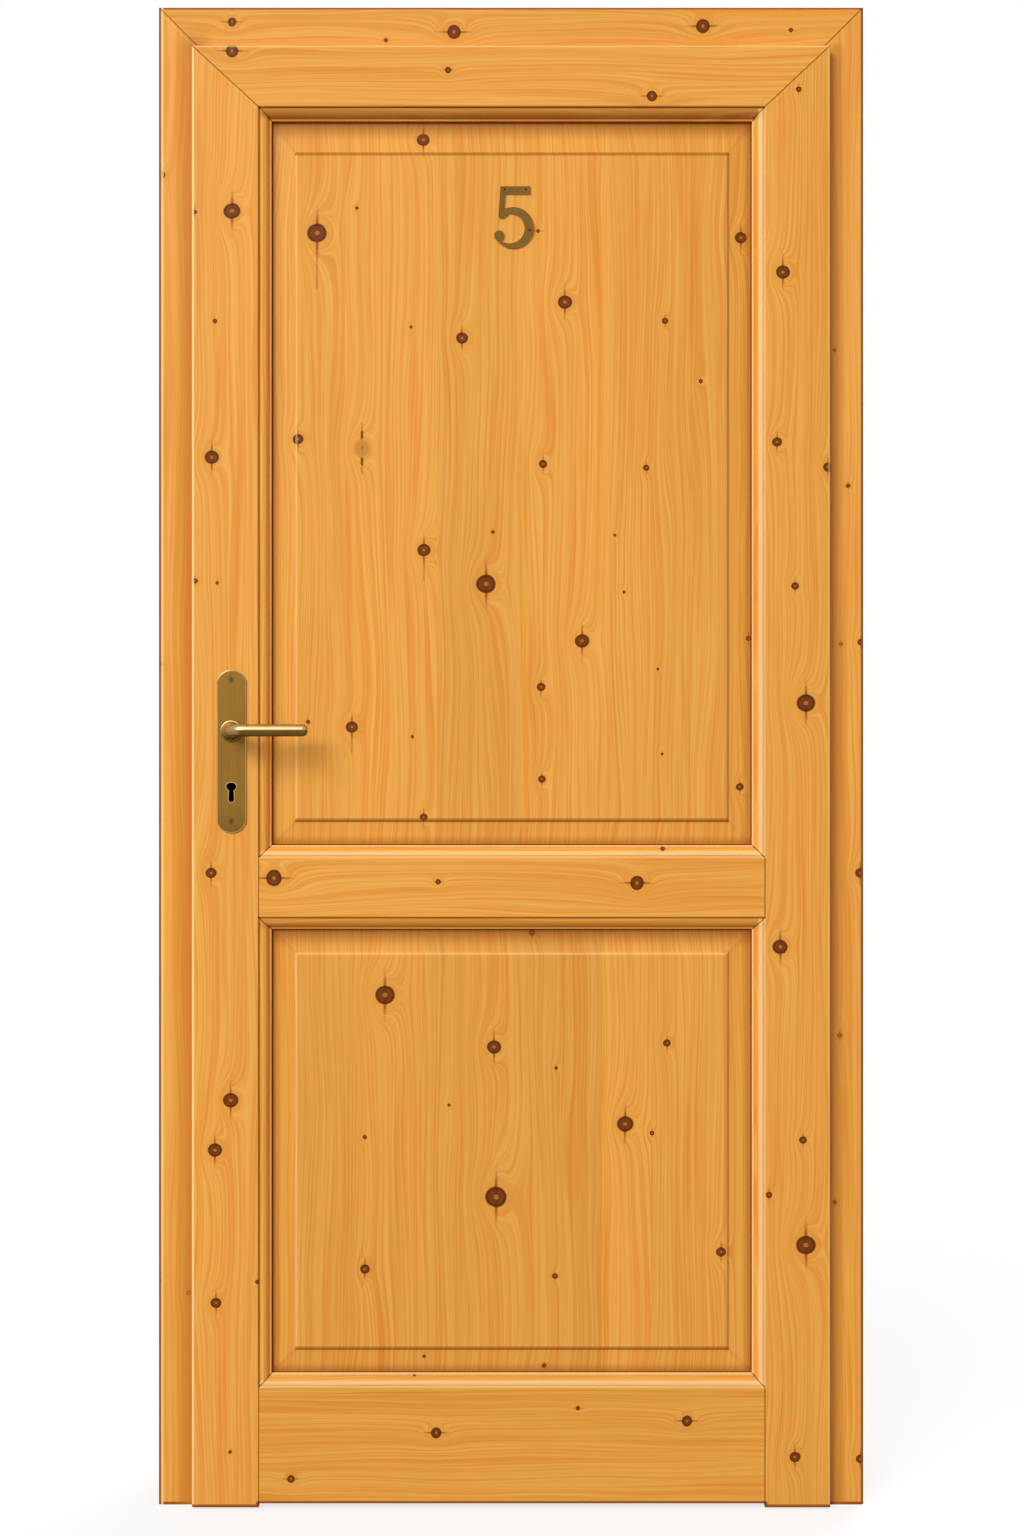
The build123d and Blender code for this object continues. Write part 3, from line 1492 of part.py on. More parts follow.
# Strike plate on the rebate face of the lock side casing
with BuildPart() as strike_plate:
    block(
        (-casing_inner_x - strike_thickness, lock_mid_y - strike_width / 2, spindle_height - strike_below),
        (-casing_inner_x, lock_mid_y + strike_width / 2, spindle_height + strike_above),
    )
    window_half = latch_width / 2 + strike_window_margin
    for level, height in ((latch_z, latch_height), (bolt_z, bolt_height)):
        tall = height / 2 + strike_latch_margin
        block(
            (-casing_inner_x - strike_thickness - overrun, lock_mid_y - window_half, level - tall),
            (-casing_inner_x + overrun, lock_mid_y + window_half, level + tall),
            Mode.SUBTRACT,
        )
    strike_hole = strike_thickness + overrun
    countersink(strike_screw_set, wood_screw_head, wood_screw_radius + screw_hole_fit, strike_hole)
save(strike_plate, "strike_plate")
save(screws(strike_screw_set, wood_screw_head, wood_screw_radius, wood_screw_length), "strike_screws")


# Hinges: bracket let into the casing, arm on the leaf
def hinge_bracket(level):
    """Two lugs that hold the pin, joined by an outer wall, with a screwed flange at each end."""
    with BuildPart() as piece:
        block(
            (casing_inner_x, bracket_front_y, level - lug_outer),
            (bracket_outer_x, bracket_back_y, level + lug_outer),
        )
        block(
            (casing_inner_x - overrun, bracket_front_y - overrun, level - lug_inner),
            (bracket_outer_x - hinge_wall_thickness, bracket_back_y + overrun, level + lug_inner),
            Mode.SUBTRACT,
        )
        for low, high in ((lug_outer, flange_end), (-flange_end, -lug_outer)):
            block(
                (casing_inner_x, bracket_front_y, level + low),
                (casing_inner_x + hinge_flange_thickness, bracket_back_y, level + high),
            )
        drill(
            [facing((pin_x, pin_y, level - lug_outer - overrun), ALONG_Z)],
            hinge_pin_radius + hinge_press_fit,
            (lug_outer + overrun) * 2,
        )
        flange_hole = hinge_flange_thickness + overrun
        countersink(bracket_screw_set, wood_screw_head, wood_screw_radius + screw_hole_fit, flange_hole)
    return piece


def hinge_arm(level):
    """An eye on the pin, a swan-neck arm round the rebate and a plate in the leaf's edge."""
    half = hinge_arm_thickness / 2
    with BuildPart() as piece:
        with BuildSketch(Plane.XY.offset(level - hinge_arm_height / 2)):
            with Locations((pin_x, pin_y)):
                Circle(hinge_eye_radius)
            Polygon(
                (pin_x - half, pin_y),
                (pin_x + half, pin_y),
                (pin_x + half, arm_back_y),
                (edge_right_x, arm_back_y),
                (edge_right_x, arm_front_y),
                (pin_x - half, arm_front_y),
                align=None,
            )
            with Locations((pin_x, pin_y)):
                Circle(hinge_pin_radius + hinge_pin_fit, mode=Mode.SUBTRACT)
        extrude(amount=hinge_arm_height)
        outer_bend = piece.edges().filter_by(Axis.Z).group_by(Axis.Y)[-1].sort_by(Axis.X)[-1]
        fillet(outer_bend, hinge_arm_thickness)
        block(
            (edge_right_x - hinge_plate_thickness, hinge_plate_front_y, level - hinge_plate_height / 2),
            (edge_right_x, arm_back_y, level + hinge_plate_height / 2),
        )
        plate_hole = hinge_plate_thickness + overrun
        countersink(arm_screw_set, wood_screw_head, wood_screw_radius + screw_hole_fit, plate_hole)
    return piece


for hinge_level, name in zip(hinge_levels, ("upper", "lower")):
    save(hinge_bracket(hinge_level), f"{name}_hinge_bracket")
    save(hinge_arm(hinge_level), f"{name}_hinge_arm")

with BuildPart() as hinge_pins:
    with Locations(*[(pin_x, pin_y, level) for level in hinge_levels]):
        Cylinder(hinge_pin_radius, lug_outer * 2)
save(hinge_pins, "hinge_pins")

with BuildPart() as hinge_washers:
    washer_z = hinge_arm_height / 2 + hinge_washer_gap + hinge_washer_thickness / 2
    with Locations(*[(pin_x, pin_y, level + side * washer_z) for level in hinge_levels for side in (-1, 1)]):
        Cylinder(hinge_eye_radius, hinge_washer_thickness)
        Cylinder(hinge_pin_radius + hinge_pin_fit, hinge_washer_thickness + overrun, mode=Mode.SUBTRACT)
save(hinge_washers, "hinge_washers")
save(screws(bracket_screw_set, wood_screw_head, wood_screw_radius, hinge_screw_length), "bracket_screws")
save(screws(arm_screw_set, wood_screw_head, wood_screw_radius, hinge_screw_length), "arm_screws")
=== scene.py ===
# %% [markdown]
# # A two-panel pine door in its frame
# The solids come from the imported model, already in metres and in their places, so this lesson is
# mostly about finishes: knotty pine under a honey varnish, aged brass, plated steel and a rubber seal.
# First we load the solids and put each one's place into its mesh.

# %% load the solids
import math
import bpy
import numpy as np
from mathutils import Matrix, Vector


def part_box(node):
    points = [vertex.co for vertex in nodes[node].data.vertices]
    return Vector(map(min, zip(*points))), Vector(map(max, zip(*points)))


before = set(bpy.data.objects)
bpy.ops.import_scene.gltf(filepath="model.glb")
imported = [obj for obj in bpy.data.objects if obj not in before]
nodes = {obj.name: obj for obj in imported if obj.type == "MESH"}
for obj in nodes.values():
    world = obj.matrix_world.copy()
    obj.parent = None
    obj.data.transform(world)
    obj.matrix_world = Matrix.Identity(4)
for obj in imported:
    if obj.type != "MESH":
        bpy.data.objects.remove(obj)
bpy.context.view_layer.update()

# %% [markdown]
# ## Camera
# The photograph looks square at the leaf from about the height of the handle. A camera 2.4 m in front
# of the leaf, with a lens of about 42 mm, gives the same small difference in size between the leaf and
# the casing behind it. A longer lens from further away would be flatter than the photograph is.

# %% camera square to the leaf
PHOTO_WIDTH, PHOTO_HEIGHT = 1024, 1536
FOCAL_PIXELS = 1783.0
eye = Vector((0.0013, -2.4523, 0.9982))
camera_data = bpy.data.cameras.new("door_camera")
camera_data.sensor_width = 36.0
camera_data.lens = camera_data.sensor_width * FOCAL_PIXELS / PHOTO_HEIGHT
camera = bpy.data.objects.new("door_camera", camera_data)
camera.location = eye
camera.rotation_euler = (math.radians(90), 0, 0)
bpy.context.scene.collection.objects.link(camera)
bpy.context.scene.camera = camera
print("lens in mm:", round(camera_data.lens, 2))


def seen_at(pixel_x, pixel_y, face_y):
    """Where a pixel of the photograph lies on an upright face: metres across and metres up.
    The pixel's distance from the middle, over the focal length, times the face's distance."""
    away = (face_y - eye.y) / FOCAL_PIXELS
    across = eye.x + (pixel_x - PHOTO_WIDTH / 2) * away
    up = eye.z + (PHOTO_HEIGHT / 2 - pixel_y) * away
    return across, up


# %% [markdown]
# ## A class for shader sums
# A finish is a sum of many small patterns. Wiring each Math node by hand hides the sum, so one small
# class wraps a socket and turns Python's operators into Math nodes. Anything else, such as a texture,
# comes from its one `node` method: the node's type, then its settings, then its inputs.

# %% sockets that can be added and multiplied
class Field:
    """One socket of a material, which changes over the surface."""

    def __init__(self, tree, socket=None):
        self.tree = tree
        self.socket = socket

    def node(self, kind, settings, inputs, output=0):
        """Add a node, set it up, feed its inputs and give back one of its outputs."""
        made = self.tree.nodes.new(kind)
        for name, value in settings.items():
            setattr(made, name, value)
        for name, value in inputs.items():
            if isinstance(value, Field):
                self.tree.links.new(value.socket, made.inputs[name])
            else:
                made.inputs[name].default_value = value
        return Field(self.tree, made.outputs[output])

    def math(self, operation, *others):
        values = [self, *others]
        return self.node("ShaderNodeMath", {"operation": operation}, dict(enumerate(values)))

    def vector(self, operation, *others, output=0):
        values = [self, *others]
        return self.node("ShaderNodeVectorMath", {"operation": operation}, dict(enumerate(values)), output)

    def __add__(self, other):
        return self.math("ADD", other)

    def __sub__(self, other):
        return self.math("SUBTRACT", other)

    def __mul__(self, other):
        return self.math("MULTIPLY", other)

    def __radd__(self, other):
        return self + other

    def __rsub__(self, other):
        return self.node("ShaderNodeMath", {"operation": "SUBTRACT"}, {0: other, 1: self})

    def __rmul__(self, other):
        return self * other

    def between(self, low, high, first=0.0, last=1.0):
        """The first value below low, the last value above high, and smooth between them."""
        settings = {"interpolation_type": "SMOOTHSTEP"}
        limits = {"From Min": low, "From Max": high, "To Min": first, "To Max": last}
        return self.node("ShaderNodeMapRange", settings, {"Value": self, **limits})


def new_finish(name):
    """An empty material: its tree as a field, its surface shader and its coordinates."""
    material = bpy.data.materials.new(name)
    material.use_nodes = True
    tree = material.node_tree
    shader = tree.nodes["Principled BSDF"]
    start = Field(tree)
    place = start.node("ShaderNodeTexCoord", {}, {}, "Object")
    return material, start, shader, place


def srgb(red, green, blue):
    """A screen colour, 0 to 255, as the linear colour that a shader works in."""
    shares = np.array([red, green, blue]) / 255
    linear = np.where(shares <= 0.04045, shares / 12.92, ((shares + 0.055) / 1.055) ** 2.4)
    return (*[float(value) for value in linear], 1.0)


def split(vector):
    """The three components of a vector field."""
    return [vector.node("ShaderNodeSeparateXYZ", {}, {0: vector}, axis) for axis in range(3)]


def blend(start, mask, under, over, way="MIX"):
    """Two colours mixed by a mask."""
    settings = {"data_type": "RGBA", "blend_type": way}
    return start.node("ShaderNodeMix", settings, {0: mask, 6: under, 7: over}, 2)


def cloud(start, vector, detail=2.0, scale=1.0):
    """Soft noise, about 0.5 on average, at stretched coordinates."""
    inputs = {"Vector": vector, "Scale": scale, "Detail": detail}
    return start.node("ShaderNodeTexNoise", {}, inputs, "Fac")


def feed(shader, socket, value):
    """Join a field to a socket of the surface shader, or set a plain value there."""
    if isinstance(value, Field):
        value.tree.links.new(value.socket, shader.inputs[socket])
    else:
        shader.inputs[socket].default_value = value


print("field class ready")

# %% [markdown]
# ## Knots
# Knots are what makes this pine this door, so their places are read in the photograph, in its
# pixels, with a radius each. They could be scattered by a Voronoi texture, but then none would lie
# where the real ones do. Each list belongs to one board and is turned into metres on that board's face.

# %% knots of each board, in photo pixels: across, down, radius
KNOTS = {
    "upper_panel": [
        (423, 139, 6), (317, 233, 9), (741, 237, 5.5), (565, 302, 6.5), (462, 338, 5.5), (665, 321, 3),
        (298, 439, 5), (362, 448, 6.5), (543, 464, 4), (646, 468, 3), (424, 550, 6), (486, 584, 9),
        (582, 641, 6.5), (541, 687, 4), (352, 727, 5.5), (542, 779, 3.5), (740, 787, 3.5), (424, 817, 3.5),
        (357, 208, 1.6), (701, 381, 2), (493, 532, 1.8), (615, 535, 1.4), (624, 592, 1.4), (658, 669, 1.4),
        (412, 737, 1.5), (749, 638, 2.5), (662, 754, 1.3), (411, 327, 1.4), (538, 231, 1.8), (308, 722, 2),
    ],
    "lower_panel": [
        (385, 995, 9), (494, 1047, 6.5), (667, 1043, 3.5), (625, 1124, 7.5), (652, 1133, 2.2),
        (496, 1197, 10), (365, 1269, 4.5), (555, 1276, 2.7), (721, 1252, 4.5), (532, 933, 3),
        (449, 1105, 1.4), (556, 1068, 1.6), (365, 1137, 2), (424, 1357, 1.6), (544, 1367, 2.2),
    ],
    "lock_stile": [
        (232, 211, 7.5), (215, 321, 2.2), (195, 212, 2), (212, 457, 6.5), (195, 581, 2.5), (217, 583, 1.6),
        (211, 873, 5), (231, 1100, 7), (215, 1150, 6.5), (216, 1303, 5), (230, 1452, 1.6), (257, 1282, 2),
    ],
    "hinge_stile": [
        (799, 89, 2.7), (783, 272, 6.5), (777, 442, 4.5), (828, 467, 4.5), (795, 586, 3.5), (806, 703, 8.5),
        (780, 947, 7), (803, 1140, 3.5), (769, 1195, 3), (806, 1245, 9), (795, 1457, 5),
    ],
    "top_rail": [(232, 51, 6), (448, 70, 3), (652, 96, 5)],
    "middle_rail": [(274, 878, 7.5), (438, 882, 2.5), (637, 883, 6.5), (663, 849, 2)],
    "bottom_rail": [(436, 1433, 5), (291, 1479, 3.5), (578, 1408, 2), (687, 1421, 5), (414, 1376, 2)],
    "head_casing": [(232, 22, 4), (454, 32, 6.5), (703, 26, 6.5), (386, 40, 2), (791, 30, 2)],
    "lock_side_casing": [
        (161, 175, 4), (160, 664, 3), (159, 820, 2), (159, 1281, 2.5), (189, 1293, 2.5),
    ],
    "hinge_side_casing": [
        (848, 486, 2), (835, 350, 1.6), (841, 644, 1.8), (861, 642, 3), (860, 873, 4.5), (840, 1035, 2.5),
        (835, 1202, 2), (860, 1459, 4),
    ],
}


def knots_on_board(name, level):
    """A board's knots in metres on its own face: across, along and radius, with the grain's way along."""
    low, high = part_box(name)
    face_y = low[1]
    found = []
    for pixel_x, pixel_y, radius in KNOTS.get(name, []):
        x, z = seen_at(pixel_x, pixel_y, face_y)
        size = radius * (face_y - eye.y) / FOCAL_PIXELS
        found.append((z, x, size) if level else (x, z, size))
    return found


print("knots:", sum(len(spots) for spots in KNOTS.values()))

# %% [markdown]
# ## Grain around the knots
# What makes wood believable is that its lines part around every knot. Lines could be drawn by hand, but
# here each knot lifts the field that the grain's noise is read in, so that lines close into rings next to
# it and bend past it further away. Three knots go through one Vector Math node at a time, one in each
# component, which keeps the tree small.

# %% knots as a lift in the grain
NO_KNOT = (9.0, 9.0, 0.001)
KNOT_SQUASH = 1.06
LOOP_DRAW = 0.4
STREAK_DRAW = 0.006
CORE_SHARE = 0.03
RAISE_PER_RADIUS = 6.0
PARTING = 0.9


def knot_fields(start, across, along, knots):
    """How knots disturb a board. Each is a bump that falls off with the square of the distance.
    Gives the lift of the grain, the nearness of the nearest knot (1 at its rim, more inside) and the
    nearness of the nearest streak, which is a knot drawn out along the grain. The last group of three
    is filled up with tiny knots far off the door."""
    across_3 = start.node("ShaderNodeCombineXYZ", {}, {0: across, 1: across, 2: across})
    along_3 = start.node("ShaderNodeCombineXYZ", {}, {0: along, 1: along, 2: along})
    lift, rim, streak = None, None, None
    for first in range(0, len(knots), 3):
        group = (knots[first:first + 3] + [NO_KNOT] * 3)[:3]
        middles, levels, radii = (tuple(float(v) for v in row) for row in zip(*group))
        squares = tuple(radius * radius for radius in radii)
        tiny = tuple(square * CORE_SHARE for square in squares)
        beside = across_3.vector("SUBTRACT", middles)
        above = along_3.vector("SUBTRACT", levels).vector("MULTIPLY", (KNOT_SQUASH,) * 3)
        far = above.vector("MULTIPLY", above)
        near = beside.vector("MULTIPLY", beside)
        distance = near.vector("ADD", far)
        loops = far.vector("MULTIPLY_ADD", (LOOP_DRAW,) * 3, near)
        soft = start.node("ShaderNodeVectorMath", {"operation": "DIVIDE"},
                          {0: squares, 1: loops.vector("ADD", squares)})
        hard = start.node("ShaderNodeVectorMath", {"operation": "DIVIDE"},
                          {0: squares, 1: distance.vector("ADD", tiny)})
        drawn = far.vector("MULTIPLY_ADD", (STREAK_DRAW,) * 3, near)
        thin = start.node("ShaderNodeVectorMath", {"operation": "DIVIDE"},
                          {0: tiny, 1: drawn.vector("ADD", tiny)})
        heights = tuple(radius * RAISE_PER_RADIUS for radius in radii)
        raised = soft.vector("DOT_PRODUCT", heights, output="Value")
        parted = soft.vector("DOT_PRODUCT", beside, output="Value")
        both = raised - parted * PARTING
        lift = both if lift is None else lift + both
        rim = hard if rim is None else rim.vector("MAXIMUM", hard)
        streak = thin if streak is None else streak.vector("MAXIMUM", thin)
    nearest = []
    for field in (rim, streak):
        parts = split(field)
        nearest.append(parts[0].math("MAXIMUM", parts[1]).math("MAXIMUM", parts[2]))
    return lift, nearest[0], nearest[1]


# %% [markdown]
# ## Lines on the boards
# Each line of the door's drawing has a thin stroke of its own. Stain gathers in mitres and joints, so
# they get thin dark strokes, and a few more strokes are splits and resin beside knots. Dark strokes along
# quirks, sight edges, panel corners, the top moulding's hollow, the field's steps, outer arrises and feet
# are painted shade, the broad soft one beside the leaf is painted shade and the one right of the leaf a
# painted shadow, the black one behind the keyhole is painted shade, and pale strokes along arrises and
# mouldings are painted highlights. Strokes could be cut as grooves, but most are thinner than a saw's kerf.

# %% strokes: colour, strength, full within, none beyond and how deep below the front
THROUGH = 1.0
# Seam brown is stain in cracks and splits, and painted shade in the quirks and along sight edges.
SEAM_AND_SHADE_BROWN = srgb(92, 40, 4)
# Stain brown is real stain along mitres, resin and knot hearts, and painted shade in panel corners, the
# moulding's hollow, under the field's steps and along outer arrises.
STAIN_AND_SHADE_BROWN = srgb(146, 76, 12)
# Soft brown is painted shade beside the leaf and a painted shadow right of it.
SHADE_BROWN = srgb(192, 118, 38)
# Keyhole black is painted shade inside the keyhole, on the wood behind the plate.
KEYHOLE_SHADE_BLACK = srgb(20, 14, 8)
# This pale is a painted highlight on arrises and mouldings.
HIGHLIGHT_PALE = srgb(255, 225, 158)
CRACK = (SEAM_AND_SHADE_BROWN, 0.75, 0.0002, 0.0013, THROUGH)
# The quirk, sight, corner, deep corner, hollow and shallow strokes are painted shade.
QUIRK_SHADE = (SEAM_AND_SHADE_BROWN, 0.6, 0.0004, 0.0022, THROUGH)
SIGHT_SHADE = (SEAM_AND_SHADE_BROWN, 0.85, 0.0006, 0.0024, THROUGH)
CORNER_SHADE = (STAIN_AND_SHADE_BROWN, 0.6, 0.0, 0.016, THROUGH)
DEEP_CORNER_SHADE = (STAIN_AND_SHADE_BROWN, 0.75, 0.0, 0.030, THROUGH)
HOLLOW_SHADE = (STAIN_AND_SHADE_BROWN, 0.55, 0.003, 0.010, THROUGH)
SHALLOW_SHADE = (STAIN_AND_SHADE_BROWN, 0.3, 0.003, 0.010, THROUGH)
# The stroke beside the leaf is painted shade, and the shaded one a little right of the leaf is a painted
# shadow.
BESIDE_SHADE = (SHADE_BROWN, 0.85, 0.0, 0.036, 0.006)
SHADED = (SHADE_BROWN, 0.5, 0.003, 0.014, 0.006)
# The outer stroke is painted shade along outer arrises and at the feet.
OUTER_SHADE = (STAIN_AND_SHADE_BROWN, 0.95, 0.0028, 0.0048, 0.010)
# The step strokes are painted shade along the field's arrises on the side away from the lamp.
STEP_SHADE = (STAIN_AND_SHADE_BROWN, 0.62, 0.0014, 0.0036, THROUGH)
SOFT_STEP_SHADE = (STAIN_AND_SHADE_BROWN, 0.2, 0.001, 0.006, THROUGH)
# The gleam, worn and faint strokes are painted highlights on mouldings and arrises.
MOULDING_HIGHLIGHT = (HIGHLIGHT_PALE, 0.62, 0.001, 0.0052, THROUGH)
ARRIS_HIGHLIGHT = (HIGHLIGHT_PALE, 0.75, 0.0006, 0.0026, THROUGH)
FAINT_HIGHLIGHT = (HIGHLIGHT_PALE, 0.35, 0.0004, 0.0022, THROUGH)
# The keyhole stroke is painted black shade on the lock stile behind the plate.
KEYHOLE_SHADE = (KEYHOLE_SHADE_BLACK, 1.0, 0.011, 0.012, THROUGH)
SPLIT = (SEAM_AND_SHADE_BROWN, 0.9, 0.0, 0.0030, THROUGH)
RESIN = (STAIN_AND_SHADE_BROWN, 0.45, 0.0, 0.0024, THROUGH)
MITRE = (STAIN_AND_SHADE_BROWN, 0.12, 0.0, 0.004, THROUGH)
PALE_KNOT = (srgb(216, 146, 66), 0.9, 0.0085, 0.0115, THROUGH)
PALE_HEART = (STAIN_AND_SHADE_BROWN, 0.5, 0.0, 0.0036, THROUGH)

LEAF_EDGE, LEAF_TOP, LEAF_FOOT, RAIL_FOOT = 0.430, 1.9713, 0.003, 0.0076
CASING_OUT, CASING_IN, CASING_TOP, CASING_UNDER = 0.478, 0.414, 2.030, 1.966
LEFT_QUIRK, RIGHT_QUIRK = -0.3398, 0.3418
OPENINGS = ((0.8777, 1.8885), (0.1644, 0.7970))
MOULDING = 0.016
FIELD_MARGIN, UPPER_TOP_MARGIN = 0.034, 0.0446
ARRIS = 0.0016
CASING_ARRIS = 0.0052
HIGHLIGHT_INSET = 0.005
SHADE_OUT = 0.012
KEY_X, KEY_TOP, KEY_FOOT = -0.376, 0.976, 0.958
PANEL_FACE = -0.0443
UPPER_MARKS = [
    (362, 447, 362, 450, PALE_KNOT), (362, 447, 362, 449, PALE_HEART),
    (362, 424, 362, 437, RESIN), (362, 432, 362, 437, SPLIT), (362, 459, 362, 474, RESIN),
    (362, 459, 362, 464, SPLIT), (530, 231, 543, 231, RESIN),
    (317, 240, 317, 288, RESIN), (424, 552, 424, 580, RESIN), (352, 730, 352, 752, RESIN),
]


def shrunk(corners, inset, extra_top=0.0):
    """Four corners of a level rectangle, from low left round by the top, moved inwards."""
    (left, low), (right, high) = corners[0], corners[2]
    left, low, right, high = left + inset, low + inset, right - inset, high - inset - extra_top
    return [(left, low), (left, high), (right, high), (right, low)]


# The leaf's arrises get painted highlights, the feet of the stiles and the bottom rail get painted shade,
# and the wood behind the keyhole is painted black as shade.
leaf_strokes = [((-LEAF_EDGE + ARRIS, 0.0), (-LEAF_EDGE + ARRIS, LEAF_TOP), ARRIS_HIGHLIGHT),
                ((LEAF_EDGE - ARRIS, 0.0), (LEAF_EDGE - ARRIS, LEAF_TOP), FAINT_HIGHLIGHT),
                ((-LEAF_EDGE, LEAF_TOP - ARRIS), (LEAF_EDGE, LEAF_TOP - ARRIS), FAINT_HIGHLIGHT),
                ((-LEAF_EDGE, LEAF_FOOT), (LEFT_QUIRK, LEAF_FOOT), OUTER_SHADE),
                ((RIGHT_QUIRK, LEAF_FOOT), (LEAF_EDGE, LEAF_FOOT), OUTER_SHADE),
                ((LEFT_QUIRK, RAIL_FOOT), (RIGHT_QUIRK, RAIL_FOOT), OUTER_SHADE),
                ((KEY_X, KEY_TOP), (KEY_X, KEY_FOOT), KEYHOLE_SHADE)]
(upper_low, upper_high), (lower_low, lower_high) = OPENINGS
for joint_x in (LEFT_QUIRK, RIGHT_QUIRK):
    leaf_strokes.append(((math.copysign(LEAF_EDGE, joint_x), LEAF_TOP), (joint_x, upper_high), CRACK))
    leaf_strokes.append(((joint_x, upper_low), (joint_x, lower_high), CRACK))
    leaf_strokes.append(((joint_x, lower_low), (joint_x, LEAF_FOOT), CRACK))
panel_strokes = []
extra_tops = (UPPER_TOP_MARGIN - FIELD_MARGIN, 0.0)
top_arrises = (STEP_SHADE, FAINT_HIGHLIGHT)
top_shades = (HOLLOW_SHADE, SHALLOW_SHADE)
for (low, high), extra_top, top_arris, shade in zip(OPENINGS, extra_tops, top_arrises, top_shades):
    quirk = [(LEFT_QUIRK, low), (LEFT_QUIRK, high), (RIGHT_QUIRK, high), (RIGHT_QUIRK, low)]
    highlight_band = shrunk(quirk, HIGHLIGHT_INSET)
    hollow = shrunk(quirk, MOULDING / 2)
    sight = shrunk(quirk, MOULDING)
    field = shrunk(sight, FIELD_MARGIN, extra_top)
    # Quirks get painted shade on the left and top and a painted highlight on the right and bottom; the top
    # moulding's hollow gets painted shade, and the right and bottom mouldings and sight edges get painted
    # highlights.
    for corner, kind in enumerate((QUIRK_SHADE, QUIRK_SHADE, FAINT_HIGHLIGHT, FAINT_HIGHLIGHT)):
        leaf_strokes.append((quirk[corner], quirk[(corner + 1) % 4], kind))
    leaf_strokes.append((hollow[1], hollow[2], shade))
    for start_corner, end_corner in ((2, 3), (3, 0)):
        leaf_strokes.append((highlight_band[start_corner], highlight_band[end_corner], MOULDING_HIGHLIGHT))
        leaf_strokes.append((sight[start_corner], sight[end_corner], ARRIS_HIGHLIGHT))
    for corner in range(4):
        leaf_strokes.append((quirk[corner], sight[corner], CRACK))
    edges = []
    # Each sight edge gets painted shade, broadest along the top. The field's arrises get a painted
    # highlight on the left and on the lower panel's top, and painted shade on the right, the bottom and the
    # upper panel's top.
    for corner, arris in enumerate((FAINT_HIGHLIGHT, top_arris, SOFT_STEP_SHADE, STEP_SHADE)):
        onward = (corner + 1) % 4
        edges.append((sight[corner], sight[onward], DEEP_CORNER_SHADE if corner == 1 else CORNER_SHADE))
        edges.append((sight[corner], sight[onward], SIGHT_SHADE))
        edges.append((field[corner], field[onward], arris))
        edges.append((sight[corner], field[corner], MITRE))
    panel_strokes.append(edges)
for pixel_x, pixel_y, end_x, end_y, kind in UPPER_MARKS:
    ends = seen_at(pixel_x, pixel_y, PANEL_FACE), seen_at(end_x, end_y, PANEL_FACE)
    panel_strokes[0].append((*ends, kind))
# The casings get painted shade along their outer arrises and feet, a painted highlight just inside the left
# casing's outer arris, soft painted shade beside the leaf on the left and a soft painted shadow right of
# the leaf.
casing_strokes = [((-CASING_OUT, CASING_TOP), (CASING_OUT, CASING_TOP), OUTER_SHADE),
                  ((-CASING_OUT, 0.0), (CASING_OUT, 0.0), OUTER_SHADE),
                  ((-CASING_OUT + CASING_ARRIS, 0.0), (-CASING_OUT + CASING_ARRIS, CASING_TOP), ARRIS_HIGHLIGHT),
                  ((-LEAF_EDGE, 0.0), (-LEAF_EDGE, LEAF_TOP), BESIDE_SHADE),
                  ((LEAF_EDGE + SHADE_OUT, 0.0), (LEAF_EDGE + SHADE_OUT, LEAF_TOP), SHADED)]
for side in (-1, 1):
    casing_strokes.append(((side * CASING_OUT, 0.0), (side * CASING_OUT, CASING_TOP), OUTER_SHADE))
    casing_strokes.append(((side * CASING_OUT, CASING_TOP), (side * CASING_IN, CASING_UNDER), CRACK))


def strokes_on_board(name, strokes):
    """The strokes whose own box, grown by their width, meets a board's box."""
    low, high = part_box(name)
    met = []
    for (x_1, z_1), (x_2, z_2), kind in strokes:
        width = kind[3]
        beside = min(x_1, x_2) - width < high[0] and max(x_1, x_2) + width > low[0]
        level = min(z_1, z_2) - width < high[2] and max(z_1, z_2) + width > low[2]
        if beside and level:
            met.append(((x_1, z_1), (x_2, z_2), kind))
    return met


def beside_line(flat, first, second):
    """Distance from the line between two points, each given by its X and Z. The place has no depth. Its
    offset from the first point, along the line, gives the share of the line where the nearest point is."""
    begin = Vector((first[0], 0.0, first[1]))
    run = Vector((second[0], 0.0, second[1])) - begin
    offset = flat.vector("SUBTRACT", tuple(begin))
    share = offset.vector("DOT_PRODUCT", tuple(run / run.length_squared), output="Value")
    share = share.math("MAXIMUM", 0.0).math("MINIMUM", 1.0)
    nearest = flat.node("ShaderNodeVectorMath", {"operation": "SCALE"}, {0: tuple(run), "Scale": share})
    return offset.vector("DISTANCE", nearest, output="Value")


print("strokes:", len(leaf_strokes) + sum(map(len, panel_strokes)) + len(casing_strokes))

# %% [markdown]
# ## Knotty pine
# A sawn board shows the tree's rings as long, thin lines, close together and slightly wandering. A Wave
# texture would space them too evenly, so a few noises, from hair-fine to broad, are stretched along the
# grain and laid over each other. Knots come on top of them, then strokes, and a thin varnish over all.

